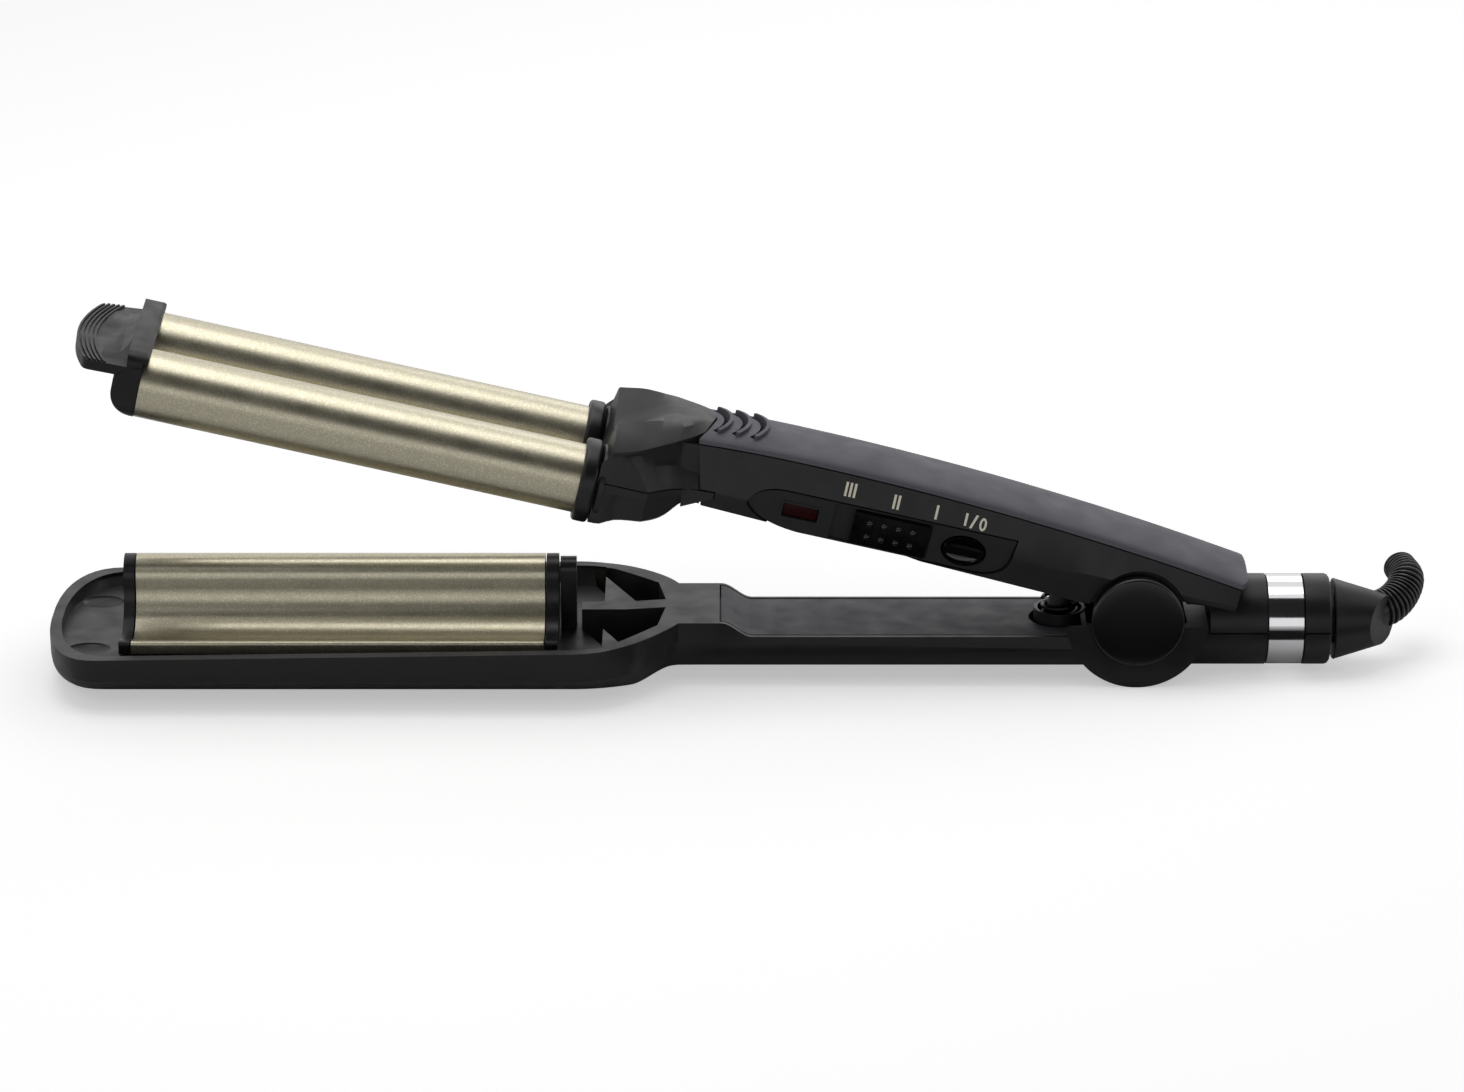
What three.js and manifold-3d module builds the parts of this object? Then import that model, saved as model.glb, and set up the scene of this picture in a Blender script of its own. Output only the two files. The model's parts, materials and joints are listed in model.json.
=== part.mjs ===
// Three-barrel hair waver: two heated barrels on a hinged upper arm close into the two
// channels of a ridged wave plate on the lower arm. Millimetres, +Z up. The tip points to -X,
// the cord end to +X, and Y = 0 is the plane of symmetry. A "reach" is a distance from the
// hinge axis towards the tip; heights in the upper arm are measured from the hinge axis with
// the arm closed, when it lies parallel to the lower arm.

import * as THREE from 'three';
import { mergeVertices } from 'three/addons/utils/BufferGeometryUtils.js';
import Module from 'manifold-3d';

// ---------------------------------------------------------------- driving dimensions

const clearance = 0.35; // between pieces that touch or seat in each other
const openAngle = THREE.MathUtils.degToRad(13.1); // arms at rest, held open by the spring

// Barrels and wave plate
const barrelRadius = 8;
const barrelWall = 1.1;
const barrelPitch = 27.4; // between the two barrel axes
const barrelRise = 4.9; // barrel axes above the hinge axis
const barrelTailReach = 124; // rear end of a barrel, held in the neck
const barrelTipReach = 240.5;
const hairGap = 1; // between a barrel and its channel when closed
const plateFrontReach = 237.2;
const plateRearReach = 139.6;
const plateWall = 1.4;
const ridgeRise = 1.9; // centre of the ridge crown above the barrel axes
const lipHalfWidth = 20;
const lipHeight = 13.6;
const skirtBottom = 10.7;
const plateEndThickness = 2.9;

// Hinge
const hingeHeight = 16.5; // also the radius of the bulge that touches the table
const axleRadius = 2.4;
const knuckleRadius = 10.4;
const knuckleInnerHalf = 10.95;
const capRadius = 10.75;
const capThickness = 2;
const lugRadius = 7;
const lugInnerHalf = 8;
const lugOuterHalf = 10.5;
const notchRadius = 12.4;

// Lower arm
const trayTipReach = 254.5;
const trayHalfWidth = 31;
const trayRound = 13.5; // length over which the tray tip rounds off
const rimWidth = 2.8;
const trayFloor = 10.3;
const rimTipHeight = 13.1;
const rimRearHeight = 14.9;
const shoulderReach = 133; // the tray starts to narrow here
const platformReach = 110.4;
const platformHeight = 15.8;
const gripHalfWidth = 14.2;
const gripBulge = 1; // the grip is this much wider below its top edge
const gripHeight = 12.4;
const gripBottom = 4.8;
const coverThickness = 1.6;
const coverInset = 1;
const barHalfWidth = 3.3;
const pocketFloor = 7.6;
const bulgeFlat = 14.9;

// Rear cylinder, chrome band and cord swivel
const rearAxisHeight = 11.95;
const rearRadius = 10.64;
const rearStart = 15.9;
const bandStart = 30.6;
const bandEnd = 38.6;
const bandWall = 0.9;
const rearEnd = 44.4;
const swivelBore = 7.8;
const swivelMouth = 5.8;
const coneStart = 45.4;
const coneEnd = 56.4;
const sleeveRadius = 4.3;
const sleeveTipRadius = 3.7;
const sleeveBore = 2.75;
const ribCount = 14;

// Upper arm
const neckReach = 130; // front face of the neck
const handleReach = 109.4; // joint between the neck and the handle
const handleRear = -21.8;
const creaseHalfWidth = 11.3;
const flareHalfWidth = 13.5;
const flareRise = 8.4;
const chamferHalfWidth = 12;
const neckSplit = 7;
const neckHalfWidth = 21.6;
const collarRadius = 9.7;
const collarFront = 135.9;
const collarBack = 132;
const sealRadius = 9;
const handleCavityHalf = 9.3;
const rearCavityHalf = 10.35;
const postReach = 17;

// Controls, in the plane of the side panel
const panelTilt = THREE.MathUtils.degToRad(6.5);
const panelMiddle = 7.4; // height of the panel's middle line
const panelHalfHeight = 4.8;
const panelRearReach = 32;
const panelNoseReach = 96;
const panelThickness = 1.5;
const sliderReach = 52.6; // edge of the slider nearest the hinge
const sliderLength = 18.1;
const sliderHeight = 8;
const sliderTravel = 4.6;
const buttonReach = 43.7;
const buttonLength = 9.9;
const buttonHeight = 7;
const buttonTravel = 1.5;
const lensReach = 83.3;
const lensLength = 7.9;
const lensHeight = 2.9;

// Arm spring
const springRadius = 4.1;
const springWire = 1;
const springTurns = 4.5;
const cupRadius = 6.1;
const cupWall = 0.9;
const cupTop = 15;
const cupBottom = 7.1;

const channelRadius = barrelRadius + hairGap;
const barrelAxis = barrelPitch / 2;
const channelHeight = hingeHeight + barrelRise;
const ridgeRadius = barrelAxis - channelRadius;
const ridgeHeight = channelHeight + ridgeRise;

// ---------------------------------------------------------------- geometry helpers

const wasm = await Module();
wasm.setup();

/** Joins shared vertices and drops the slivers that a revolve leaves on its axis. */
function weld(geometry) {
  const bare = geometry.clone();
  for (const name of Object.keys(bare.attributes)) {
    if (name !== 'position') bare.deleteAttribute(name);
  }
  const welded = mergeVertices(bare, 1e-3);
  const corners = welded.index.array;
  const kept = [];
  for (let i = 0; i < corners.length; i += 3) {
    const [a, b, c] = corners.subarray(i, i + 3);
    if (a !== b && b !== c && c !== a) kept.push(a, b, c);
  }
  welded.setIndex(kept);
  return welded;
}

/** Manifold solid of a closed geometry, with its faces turned outwards. */
function solid(geometry) {
  const welded = weld(geometry);
  const vertProperties = Float32Array.from(welded.attributes.position.array);
  const triVerts = Uint32Array.from(welded.index.array);
  const made = new wasm.Manifold(new wasm.Mesh({ numProp: 3, vertProperties, triVerts }));
  if (made.volume() > 0) return made;
  triVerts.reverse();
  return new wasm.Manifold(new wasm.Mesh({ numProp: 3, vertProperties, triVerts }));
}

/** Geometry of a manifold solid. */
function geometryOf(body) {
  const mesh = body.getMesh();
  const geometry = new THREE.BufferGeometry();
  geometry.setAttribute('position', new THREE.BufferAttribute(mesh.vertProperties, 3));
  geometry.setIndex(Array.from(mesh.triVerts));
  const faceted = geometry.toNonIndexed();
  faceted.computeVertexNormals();
  return faceted;
}

const join = (first, ...others) => others.reduce((whole, other) => whole.add(other), first);
const cut = (first, ...others) => others.reduce((whole, other) => whole.subtract(other), first);
const moved = (geometry, x, y, z) => geometry.translate(x, y, z);

/** Box between two corners. */
function block(x0, x1, y0, y1, z0, z1) {
  const box = new THREE.BoxGeometry(x1 - x0, y1 - y0, z1 - z0);
  return solid(moved(box, (x0 + x1) / 2, (y0 + y1) / 2, (z0 + z1) / 2));
}

/** Round bar of one radius along an axis, from one end to the other. */
function rod(axis, radius, from, to, at = [0, 0], segments = 32) {
  const bar = new THREE.CylinderGeometry(radius, radius, to - from, segments);
  bar.translate(0, (from + to) / 2, 0);
  if (axis === 'x') return solid(bar.rotateZ(-Math.PI / 2).translate(0, at[0], at[1]));
  if (axis === 'z') return solid(bar.rotateX(Math.PI / 2).translate(at[0], at[1], 0));
  return solid(bar.translate(at[0], 0, at[1]));
}

/** Revolved form along X, Y or Z: profile points are [position along the axis, radius]. */
function revolved(axis, profile, segments = 40) {
  const points = profile.map(([at, radius]) => new THREE.Vector2(radius, at));
  const form = new THREE.LatheGeometry(points, segments);
  if (axis === 'x') return form.rotateZ(-Math.PI / 2);
  if (axis === 'z') return form.rotateX(Math.PI / 2);
  return form;
}

/** Shape drawn in (y, z), pulled along X. */
function pulledAlongX(shape, x0, x1, curveSegments = 12) {
  const pulled = new THREE.ExtrudeGeometry(shape, { depth: x1 - x0, bevelEnabled: false, curveSegments });
  const turn = new THREE.Matrix4().makeBasis(
    new THREE.Vector3(0, 1, 0), new THREE.Vector3(0, 0, 1), new THREE.Vector3(1, 0, 0));
  return solid(pulled.applyMatrix4(turn).translate(x0, 0, 0));
}

/** Shape drawn in (x, z), pulled along Y. */
function pulledAlongY(shape, y0, y1, curveSegments = 12) {
  const pulled = new THREE.ExtrudeGeometry(shape, { depth: y1 - y0, bevelEnabled: false, curveSegments });
  return solid(pulled.rotateX(Math.PI / 2).translate(0, y1, 0));
}

/** Shape drawn in (x, y), pulled along Z. */
function pulledAlongZ(shape, z0, z1, curveSegments = 12) {
  const pulled = new THREE.ExtrudeGeometry(shape, { depth: z1 - z0, bevelEnabled: false, curveSegments });
  return solid(pulled.translate(0, 0, z0));
}

/** Rectangle with rounded corners. */
function roundedRectangle(x0, x1, y0, y1, radius) {
  const shape = new THREE.Shape();
  shape.moveTo(x0 + radius, y0);
  shape.lineTo(x1 - radius, y0).absarc(x1 - radius, y0 + radius, radius, -Math.PI / 2, 0);
  shape.lineTo(x1, y1 - radius).absarc(x1 - radius, y1 - radius, radius, 0, Math.PI / 2);
  shape.lineTo(x0 + radius, y1).absarc(x0 + radius, y1 - radius, radius, Math.PI / 2, Math.PI);
  shape.lineTo(x0, y0 + radius).absarc(x0 + radius, y0 + radius, radius, Math.PI, 1.5 * Math.PI);
  return shape;
}

const mix = (from, to, share) => from + (to - from) * share;
const ease = (share) => THREE.MathUtils.smoothstep(share, 0, 1);

/** Value on straight lines between [reach, value] knots. */
function along(reach, ...knots) {
  if (reach <= knots[0][0]) return knots[0][1];
  const next = knots.findIndex(([at]) => at >= reach);
  if (next < 0) return knots.at(-1)[1];
  const [[from, low], [to, high]] = [knots[next - 1], knots[next]];
  return mix(low, high, (reach - from) / (to - from));
}

/** Value on a smooth curve through [reach, value] knots. */
function smooth(reach, knots) {
  const at = THREE.MathUtils.clamp(reach, knots[0][0], knots.at(-1)[0]);
  const first = THREE.MathUtils.clamp(knots.findIndex(([x]) => x >= at) - 1, 0, knots.length - 2);
  const slope = (k) => {
    const before = knots[Math.max(k - 1, 0)];
    const after = knots[Math.min(k + 1, knots.length - 1)];
    return (after[1] - before[1]) / (after[0] - before[0]);
  };
  const [[from, low], [to, high]] = [knots[first], knots[first + 1]];
  const span = to - from;
  const t = (at - from) / span;
  return low * (2 * t ** 3 - 3 * t ** 2 + 1) + high * (3 * t ** 2 - 2 * t ** 3)
    + span * (slope(first) * (t ** 3 - 2 * t ** 2 + t) + slope(first + 1) * (t ** 3 - t ** 2));
}

/**
 * Body lofted along the arm. Each rail gives a [half width, height] for a reach, from the
 * top centre down to the bottom centre; the other side is its mirror.
 */
function loft(reaches, rails) {
  const rings = reaches.map((reach) => {
    const half = rails.map((rail) => rail(reach));
    const mirror = half.filter(([y]) => y > 1e-6).reverse().map(([y, z]) => [-y, z]);
    return [...half, ...mirror].map(([y, z]) => new THREE.Vector3(-reach, y, z));
  });
  const size = rings[0].length;
  const triangles = [];
  for (let r = 0; r + 1 < rings.length; r += 1) {
    for (let i = 0; i < size; i += 1) {
      const j = (i + 1) % size;
      const [a, b, c, d] = [rings[r][i], rings[r][j], rings[r + 1][j], rings[r + 1][i]];
      triangles.push(a, b, c, a, c, d);
    }
  }
  const addEnd = (ring, turnedRound) => {
    const flat = ring.map((point) => new THREE.Vector2(point.y, point.z));
    for (const face of THREE.ShapeUtils.triangulateShape(flat, [])) {
      const corners = face.map((i) => ring[i]);
      triangles.push(...(turnedRound ? corners.reverse() : corners));
    }
  };
  const clockwise = THREE.ShapeUtils.isClockWise(rings[0].map((p) => new THREE.Vector2(p.y, p.z)));
  addEnd(rings[0], !clockwise);
  addEnd(rings.at(-1), clockwise);
  return solid(new THREE.BufferGeometry().setFromPoints(triangles));
}

/** Even steps from one number to another, both ends included. */
const steps = (from, to, count) => Array.from({ length: count + 1 }, (_, i) => mix(from, to, i / count));

// ---------------------------------------------------------------- materials

const plastic = (colour, roughness) => new THREE.MeshStandardMaterial({ color: colour, roughness, metalness: 0 });
const metal = (colour, roughness) => new THREE.MeshStandardMaterial({ color: colour, roughness, metalness: 1 });

const finish = {
  champagne: metal(0xc9bd97, 0.35),
  shellBlack: plastic(0x2b2b2d, 0.55),
  coverGrey: plastic(0x4c4b50, 0.6),
  glossBlack: plastic(0x0c0c0d, 0.15),
  heatBlack: plastic(0x1c1c1f, 0.45),
  chrome: metal(0xd8d8da, 0.08),
  steel: metal(0x9a9a9c, 0.4),
  redLens: new THREE.MeshStandardMaterial({ color: 0x5a1418, roughness: 0.1, metalness: 0 }),
  rubber: plastic(0x1d1d1f, 0.7),
  ceramic: plastic(0xe2ded2, 0.8),
  board: plastic(0x2f5a3a, 0.6),
  lampGlass: plastic(0xd97a4a, 0.2),
};

const group = new THREE.Group();
const upperArm = new THREE.Group();
upperArm.position.z = hingeHeight;
upperArm.rotation.y = openAngle;
group.add(upperArm);

/** Adds one named piece to a group. */
function addPiece(parent, name, body, material) {
  const mesh = new THREE.Mesh(geometryOf(body), material);
  mesh.name = name;
  parent.add(mesh);
  return mesh;
}

const sides = [['near', -1], ['far', 1]];

// ---------------------------------------------------------------- lower arm

/** Half width of the tray and neck in plan. */
function trayWidth(reach) {
  const tipStart = trayTipReach - trayRound;
  if (reach > tipStart) {
    const share = Math.min((reach - tipStart) / trayRound, 1);
    return trayHalfWidth * (1 - share ** 2.4) ** (1 / 2.4);
  }
  if (reach >= shoulderReach) return trayHalfWidth;
  const neckEnd = platformReach - 2.4;
  const share = Math.min((shoulderReach - reach) / (shoulderReach - neckEnd), 1);
  return mix(gripHalfWidth, trayHalfWidth, (1 - share ** 2) ** 0.9);
}

/** Height of the rim, the platform and the grip's top. */
function topHeight(reach) {
  const gripStart = platformReach - 18;
  const platformEnd = platformReach - 9.4;
  if (reach < platformEnd) {
    const share = THREE.MathUtils.clamp((reach - gripStart) / (platformEnd - gripStart), 0, 1);
    return mix(gripHeight, platformHeight, ease(share));
  }
  return along(reach, [platformReach, platformHeight], [platformReach + 15, rimRearHeight],
    [trayTipReach, rimTipHeight]);
}

/** How far the section has turned from the tray's hull (0) into the grip's hexagon (1). */
const gripShare = (reach) => ease(THREE.MathUtils.clamp((119 - reach) / 12, 0, 1));

/** How far the tray's bottom has curved up at the tip. */
const tipLift = (reach) => THREE.MathUtils.clamp((reach - trayTipReach + trayRound) / trayRound, 0, 1) ** 3;

const hullRails = [
  (reach) => [0, topHeight(reach)],
  (reach) => [trayWidth(reach), topHeight(reach)],
  (reach) => {
    const share = gripShare(reach);
    const width = mix(trayWidth(reach) * 0.955, gripHalfWidth + gripBulge, share);
    return [width, mix(mix(7.5, 8.6, tipLift(reach)), 9.3, share)];
  },
  (reach) => {
    const share = gripShare(reach);
    const width = mix(trayWidth(reach) * 0.8, gripHalfWidth - 0.2, share);
    return [width, mix(mix(4.5, 6, tipLift(reach)), 5.5, share)];
  },
  (reach) => {
    const share = gripShare(reach);
    const width = mix(trayWidth(reach) * 0.6, gripHalfWidth - 2, share);
    return [width, mix(mix(1.6, 4.4, tipLift(reach)), gripBottom + 0.2, share)];
  },
  (reach) => {
    const share = gripShare(reach);
    const width = mix(trayWidth(reach) * 0.42, gripHalfWidth - 4, share);
    return [width, mix(4 * tipLift(reach), gripBottom, share)];
  },
  (reach) => [0, mix(4 * tipLift(reach), gripBottom, gripShare(reach))],
];

const tipStations = [0.998, 0.97, 0.9, 0.78, 0.6, 0.35, 0].map((share) => trayTipReach - trayRound * (1 - share));
const neckStations = steps(shoulderReach, platformReach - 2.4, 10);
const gripStations = steps(platformReach - 8, platformReach - 18.4, 6);

/** Tray, neck and grip as one outer form. */
function lowerHull() {
  return loft([...tipStations, ...neckStations, ...gripStations, 8], hullRails);
}

/** Recess that the wave plate sits in. */
function trayRecess() {
  const inner = (reach) => Math.max(trayWidth(reach) - rimWidth, 0.5);
  const ends = [...tipStations.slice(1, -1).map((reach) => reach - rimWidth + 0.4), trayTipReach - trayRound];
  const rear = steps(shoulderReach, 124, 3);
  const width = (reach) => (reach > trayTipReach - trayRound ? trayWidth(reach + rimWidth - 0.4) - rimWidth : inner(reach));
  return loft([...ends, ...rear], [
    () => [0, 30],
    (reach) => [width(reach), 30],
    (reach) => [width(reach), topHeight(reach) - 1],
    (reach) => [width(reach) - 1.8, trayFloor],
    () => [0, trayFloor],
  ]);
}

/** Pocket between the centre bar and the narrowing wall of the neck. */
function neckPocket(side) {
  const outline = new THREE.Shape();
  const curve = steps(113, 124.4, 5).map((reach) => [-reach, side * (trayWidth(reach) - rimWidth - 0.6)]);
  outline.moveTo(-111.6, side * barHalfWidth);
  for (const [x, y] of curve) outline.lineTo(x, y);
  outline.lineTo(-128.4, side * barHalfWidth);
  return pulledAlongZ(outline, pocketFloor, 30);
}

/** Bulge round the hinge, with the knuckles that carry the axle. */
function hingeBulge() {
  const half = gripHalfWidth + 0.5;
  const bulge = rod('y', hingeHeight, -half, half, [0, hingeHeight], 48);
  const flat = block(-30, 30, -20, 20, bulgeFlat, 60);
  const behind = block(rearStart - clearance, 30, -20, 20, rearAxisHeight, 60);
  return join(cut(bulge, flat, behind), rod('y', knuckleRadius, -half, half, [0, hingeHeight], 40));
}

/** Lower half of the rear cylinder, with the groove for the chrome band. */
function rearCylinder(start, low, high) {
  const profile = [[start, 0], [start, rearRadius], [bandStart - 0.2, rearRadius], [bandStart - 0.2, rearRadius - bandWall - 0.5],
    [bandEnd + 0.2, rearRadius - bandWall - 0.5], [bandEnd + 0.2, rearRadius], [rearEnd - 0.8, rearRadius], [rearEnd, rearRadius - 0.7],
    [rearEnd, 0]];
  const whole = solid(revolved('x', profile).translate(0, 0, rearAxisHeight));
  return whole.intersect(block(0, 80, -20, 20, low, high));
}

/** Space in the rear cylinder in which the swivel's flange turns. */
function swivelSpace() {
  const profile = [[rearStart + 3, 0], [rearStart + 3, swivelBore], [rearEnd - 2.4, swivelBore],
    [rearEnd - 2.4, swivelMouth + 0.5], [rearEnd + 5, swivelMouth + 0.5], [rearEnd + 5, 0]];
  return solid(revolved('x', profile, 32).translate(0, 0, rearAxisHeight));
}

/** Seat for the grip's cover. */
function coverSeat(bottomDrop, inset, from, to) {
  const half = (reach) => Math.min(trayWidth(reach), gripHalfWidth) - inset;
  return loft([...steps(from, platformReach - 8, 1), ...gripStations, to], [
    (reach) => [0, topHeight(reach) + 10],
    (reach) => [half(reach), topHeight(reach) + 10],
    (reach) => [half(reach), topHeight(reach) - bottomDrop],
    (reach) => [0, topHeight(reach) - bottomDrop],
  ]);
}

function lowerShell() {
  let shell = join(lowerHull(), hingeBulge(), rearCylinder(8, -5, rearAxisHeight));
  const pockets = sides.map(([, side]) => neckPocket(side));
  const bar = block(-131, -108, -barHalfWidth, barHalfWidth, pocketFloor - 1, platformHeight - 0.3);
  shell = join(cut(shell, trayRecess(), ...pockets), bar);
  const springBore = rod('z', cupRadius + clearance, cupBottom - clearance, 40, [-postReach - clearance, 0]);
  const wireSpace = block(-platformReach + 6, -30, -9, 9, gripBottom + 2, gripHeight + 3);
  const hingeSpace = join(
    rod('y', notchRadius, -knuckleInnerHalf, knuckleInnerHalf, [0, hingeHeight]),
    block(-notchRadius, 13, -knuckleInnerHalf, knuckleInnerHalf, hingeHeight, 40));
  const axleBore = rod('y', axleRadius + clearance, -20, 20, [0, hingeHeight], 24);
  const dimples = sides.map(([, side]) => dimple(-244.5, side * 15.5));
  const seat = coverSeat(coverThickness + clearance, coverInset, platformReach - 1, 25);
  shell = cut(shell, seat, wireSpace, springBore, hingeSpace, axleBore, swivelSpace(), ...dimples);
  const bosses = screwReaches.map(([, reach]) => rod('z', 4, gripBottom + 1, screwSeam, [-reach, 0], 20));
  return cut(join(shell, ...bosses), ...screwReaches.map(([, reach]) => screwBore(reach)));
}

const screwReaches = [['front', 82], ['rear', 42]];
const screwHead = gripBottom + 0.5;
const screwSeam = 8.3; // where the shell's boss and the cover's boss meet
const screwTip = 10.3;

/** Pan-head screw that enters from below. */
function gripScrew(reach) {
  const shoulder = screwHead + 1.4;
  const profile = [[screwHead, 0], [screwHead, 2.1], [screwHead + 0.4, 2.5], [shoulder, 2.5], [shoulder, 1.3],
    [screwTip, 1.3], [screwTip, 0]];
  return solid(revolved('z', profile, 16).translate(-reach, 0, 0));
}

/** Stepped bore for a screw. */
function screwBore(reach) {
  return join(rod('z', 2.5 + clearance, 0, screwHead + 1.4 + clearance, [-reach, 0], 20),
    rod('z', 1.3 + clearance, 0, screwTip + clearance, [-reach, 0], 16));
}

/** Shallow oval dent in the tray's tip floor. */
function dimple(x, y) {
  const ball = new THREE.SphereGeometry(1, 20, 12).scale(5, 4, 1.4);
  return solid(ball.translate(x, y, trayFloor + 0.2));
}

/** Soft-touch cover let into the grip's top, with bosses for the screws. */
function lowerHandleCover() {
  const half = gripHalfWidth - coverInset - clearance;
  const plate = loft([platformReach - 1 - clearance, ...gripStations, 25 + clearance], [
    (reach) => [0, topHeight(reach)],
    (reach) => [half - 0.3, topHeight(reach)],
    (reach) => [half, topHeight(reach) - 0.3],
    (reach) => [half, topHeight(reach) - coverThickness],
    (reach) => [0, topHeight(reach) - coverThickness],
  ]);
  const bosses = screwReaches.map(([, reach]) => rod('z', 3.2, screwSeam + clearance, 11, [-reach, 0], 20));
  return cut(join(plate, ...bosses), ...screwReaches.map(([, reach]) => screwBore(reach)));
}


/** Half of the wave's outline from the top of the ridge to the foot of the skirt. */
function waveLine(inset) {
  const arc = (y, z, radius, from, to, count) => steps(from, to, count)
    .map((angle) => new THREE.Vector2(y + radius * Math.cos(angle), z + radius * Math.sin(angle)));
  const lip = lipHalfWidth - inset;
  const lipTop = lipHeight - inset;
  const radius = channelRadius + inset;
  const lipAngle = -Math.asin((channelHeight - lipTop) / radius);
  return [
    ...arc(0, ridgeHeight, ridgeRadius - inset, Math.PI / 2, 0, 9),
    ...arc(barrelAxis, channelHeight, radius, Math.PI, 2 * Math.PI + lipAngle, 16),
    new THREE.Vector2(lip - 0.9, lipTop),
    new THREE.Vector2(lip, lipTop - 0.9),
    new THREE.Vector2(lip, skirtBottom),
  ];
}

const mirrored = (points) => points.map((point) => new THREE.Vector2(-point.x, point.y)).reverse();

/** Extruded aluminium plate: one ridge between two channels, with a lip along each edge. */
function wavePlate() {
  const outer = waveLine(0);
  const inner = waveLine(plateWall);
  const under = [...inner.toReversed(), ...mirrored(inner).toReversed().slice(1)];
  const outline = [...mirrored(outer), ...outer.slice(1), ...under];
  return pulledAlongX(new THREE.Shape(dropRepeats(outline)), -plateFrontReach, -plateRearReach);
}

/** Removes points that lie on the one before them. */
function dropRepeats(points) {
  return points.filter((point, i) => point.distanceTo(points.at(i - 1)) > 1e-4);
}

/** Heat-proof end plate with the wave's outline. */
function plateEnd(x0, x1) {
  const outline = dropRepeats([...mirrored(waveLine(0)), ...waveLine(0).slice(1)]);
  return pulledAlongX(new THREE.Shape(outline), x0, x1);
}

/** Arched block that closes the ridge behind the plate. */
function plateRearBlock() {
  const half = ridgeRadius - 1.8;
  const top = ridgeHeight + ridgeRadius - 0.6;
  const arch = new THREE.Shape();
  arch.moveTo(-half, trayFloor + clearance);
  arch.lineTo(half, trayFloor + clearance).lineTo(half, top - half);
  arch.absarc(0, top - half, half, 0, Math.PI);
  return pulledAlongX(arch, -136.05, -131.3);
}

function hingeCap(side) {
  const start = gripHalfWidth + 0.5 + clearance;
  const end = start + capThickness;
  const profile = [[start, 0], [start, capRadius], [end - 0.5, capRadius], [end - 0.15, capRadius - 0.5],
    [end + 0.15, capRadius * 0.5], [end + 0.2, 0]];
  const placed = profile.map(([at, radius]) => [side * at, radius]);
  return solid(revolved('y', placed, 48).translate(0, 0, hingeHeight));
}

function springCup() {
  const inside = cupRadius - cupWall;
  const profile = [[cupBottom, 0], [cupBottom, cupRadius], [cupTop, cupRadius], [cupTop, inside],
    [cupBottom + 1, inside], [cupBottom + 1, 0]];
  return solid(revolved('z', profile).translate(-postReach - clearance, 0, 0));
}

/** Helix along Z. */
class Helix extends THREE.Curve {
  constructor(radius, low, high, turns) {
    super();
    Object.assign(this, { radius, low, high, turns });
  }

  getPoint(share, target = new THREE.Vector3()) {
    const angle = share * this.turns * 2 * Math.PI;
    return target.set(this.radius * Math.cos(angle), this.radius * Math.sin(angle), mix(this.low, this.high, share));
  }
}

/** Round section along a curve. */
function wireAlong(curve, radius, facets, count) {
  const section = new THREE.Shape();
  section.absarc(0, 0, radius, 0, 2 * Math.PI);
  const options = { steps: count, extrudePath: curve, curveSegments: facets / 2 };
  return new THREE.ExtrudeGeometry(section, options);
}

function armSpring() {
  const low = cupBottom + 1 + clearance + springWire / 2;
  const high = hingeHeight + 0.7;
  const helix = new Helix(springRadius, low, high, springTurns);
  return solid(wireAlong(helix, springWire / 2, 6, 72).translate(-postReach - clearance, 0, 0));
}

/** Polished band wrapped round the rear cylinder, its seam underneath. */
function chromeBand() {
  const outside = rearRadius - 0.1;
  const inside = outside - bandWall;
  const profile = [[bandStart, inside], [bandStart, outside - 0.2], [bandStart + 0.2, outside], [bandEnd - 0.2, outside],
    [bandEnd, outside - 0.2], [bandEnd, inside], [bandStart, inside]];
  const ring = solid(revolved('x', profile, 48).translate(0, 0, rearAxisHeight));
  return cut(ring, block(0, 60, -0.25, 0.25, -5, rearAxisHeight));
}

function rearHousingTop() {
  return cut(rearCylinder(rearStart, rearAxisHeight + clearance, 60), swivelSpace());
}

/** Carrier of the contacts that feed the turning cord. */
function contactDisc() {
  const radius = swivelBore - clearance;
  const profile = [[30, 0], [30, radius], [32, radius], [32, 5.6], [34.5, 5.6], [34.5, 4.6], [32, 4.6], [32, 2],
    [36, 2], [36, 0]];
  return solid(revolved('x', profile, 24).translate(0, 0, rearAxisHeight));
}

addPiece(group, 'lower_shell', lowerShell(), finish.shellBlack);
addPiece(group, 'lower_handle_cover', lowerHandleCover(), finish.coverGrey);
addPiece(group, 'wave_plate', wavePlate(), finish.champagne);
addPiece(group, 'plate_front_cap', plateEnd(-plateFrontReach - plateEndThickness, -plateFrontReach - clearance), finish.heatBlack);
addPiece(group, 'plate_rear_ring', plateEnd(-plateRearReach + clearance, -plateRearReach + 3.2), finish.heatBlack);
addPiece(group, 'plate_rear_block', plateRearBlock(), finish.heatBlack);
addPiece(group, 'plate_heater', block(-228, -150, -2.6, 2.6, 11.5, 22), finish.ceramic);
addPiece(group, 'hinge_axle', rod('y', axleRadius, -gripHalfWidth - 0.4, gripHalfWidth + 0.4, [0, hingeHeight], 24), finish.steel);
for (const [place, side] of sides) addPiece(group, `hinge_cap_${place}`, hingeCap(side), finish.glossBlack);
addPiece(group, 'spring_cup', springCup(), finish.shellBlack);
addPiece(group, 'arm_spring', armSpring(), finish.steel);
addPiece(group, 'rear_housing_top', rearHousingTop(), finish.shellBlack);
addPiece(group, 'chrome_band', chromeBand(), finish.chrome);
addPiece(group, 'swivel_contact_disc', contactDisc(), finish.heatBlack);
for (const [place, reach] of screwReaches) addPiece(group, `grip_screw_${place}`, gripScrew(reach), finish.steel);

// ---------------------------------------------------------------- cord swivel

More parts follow.
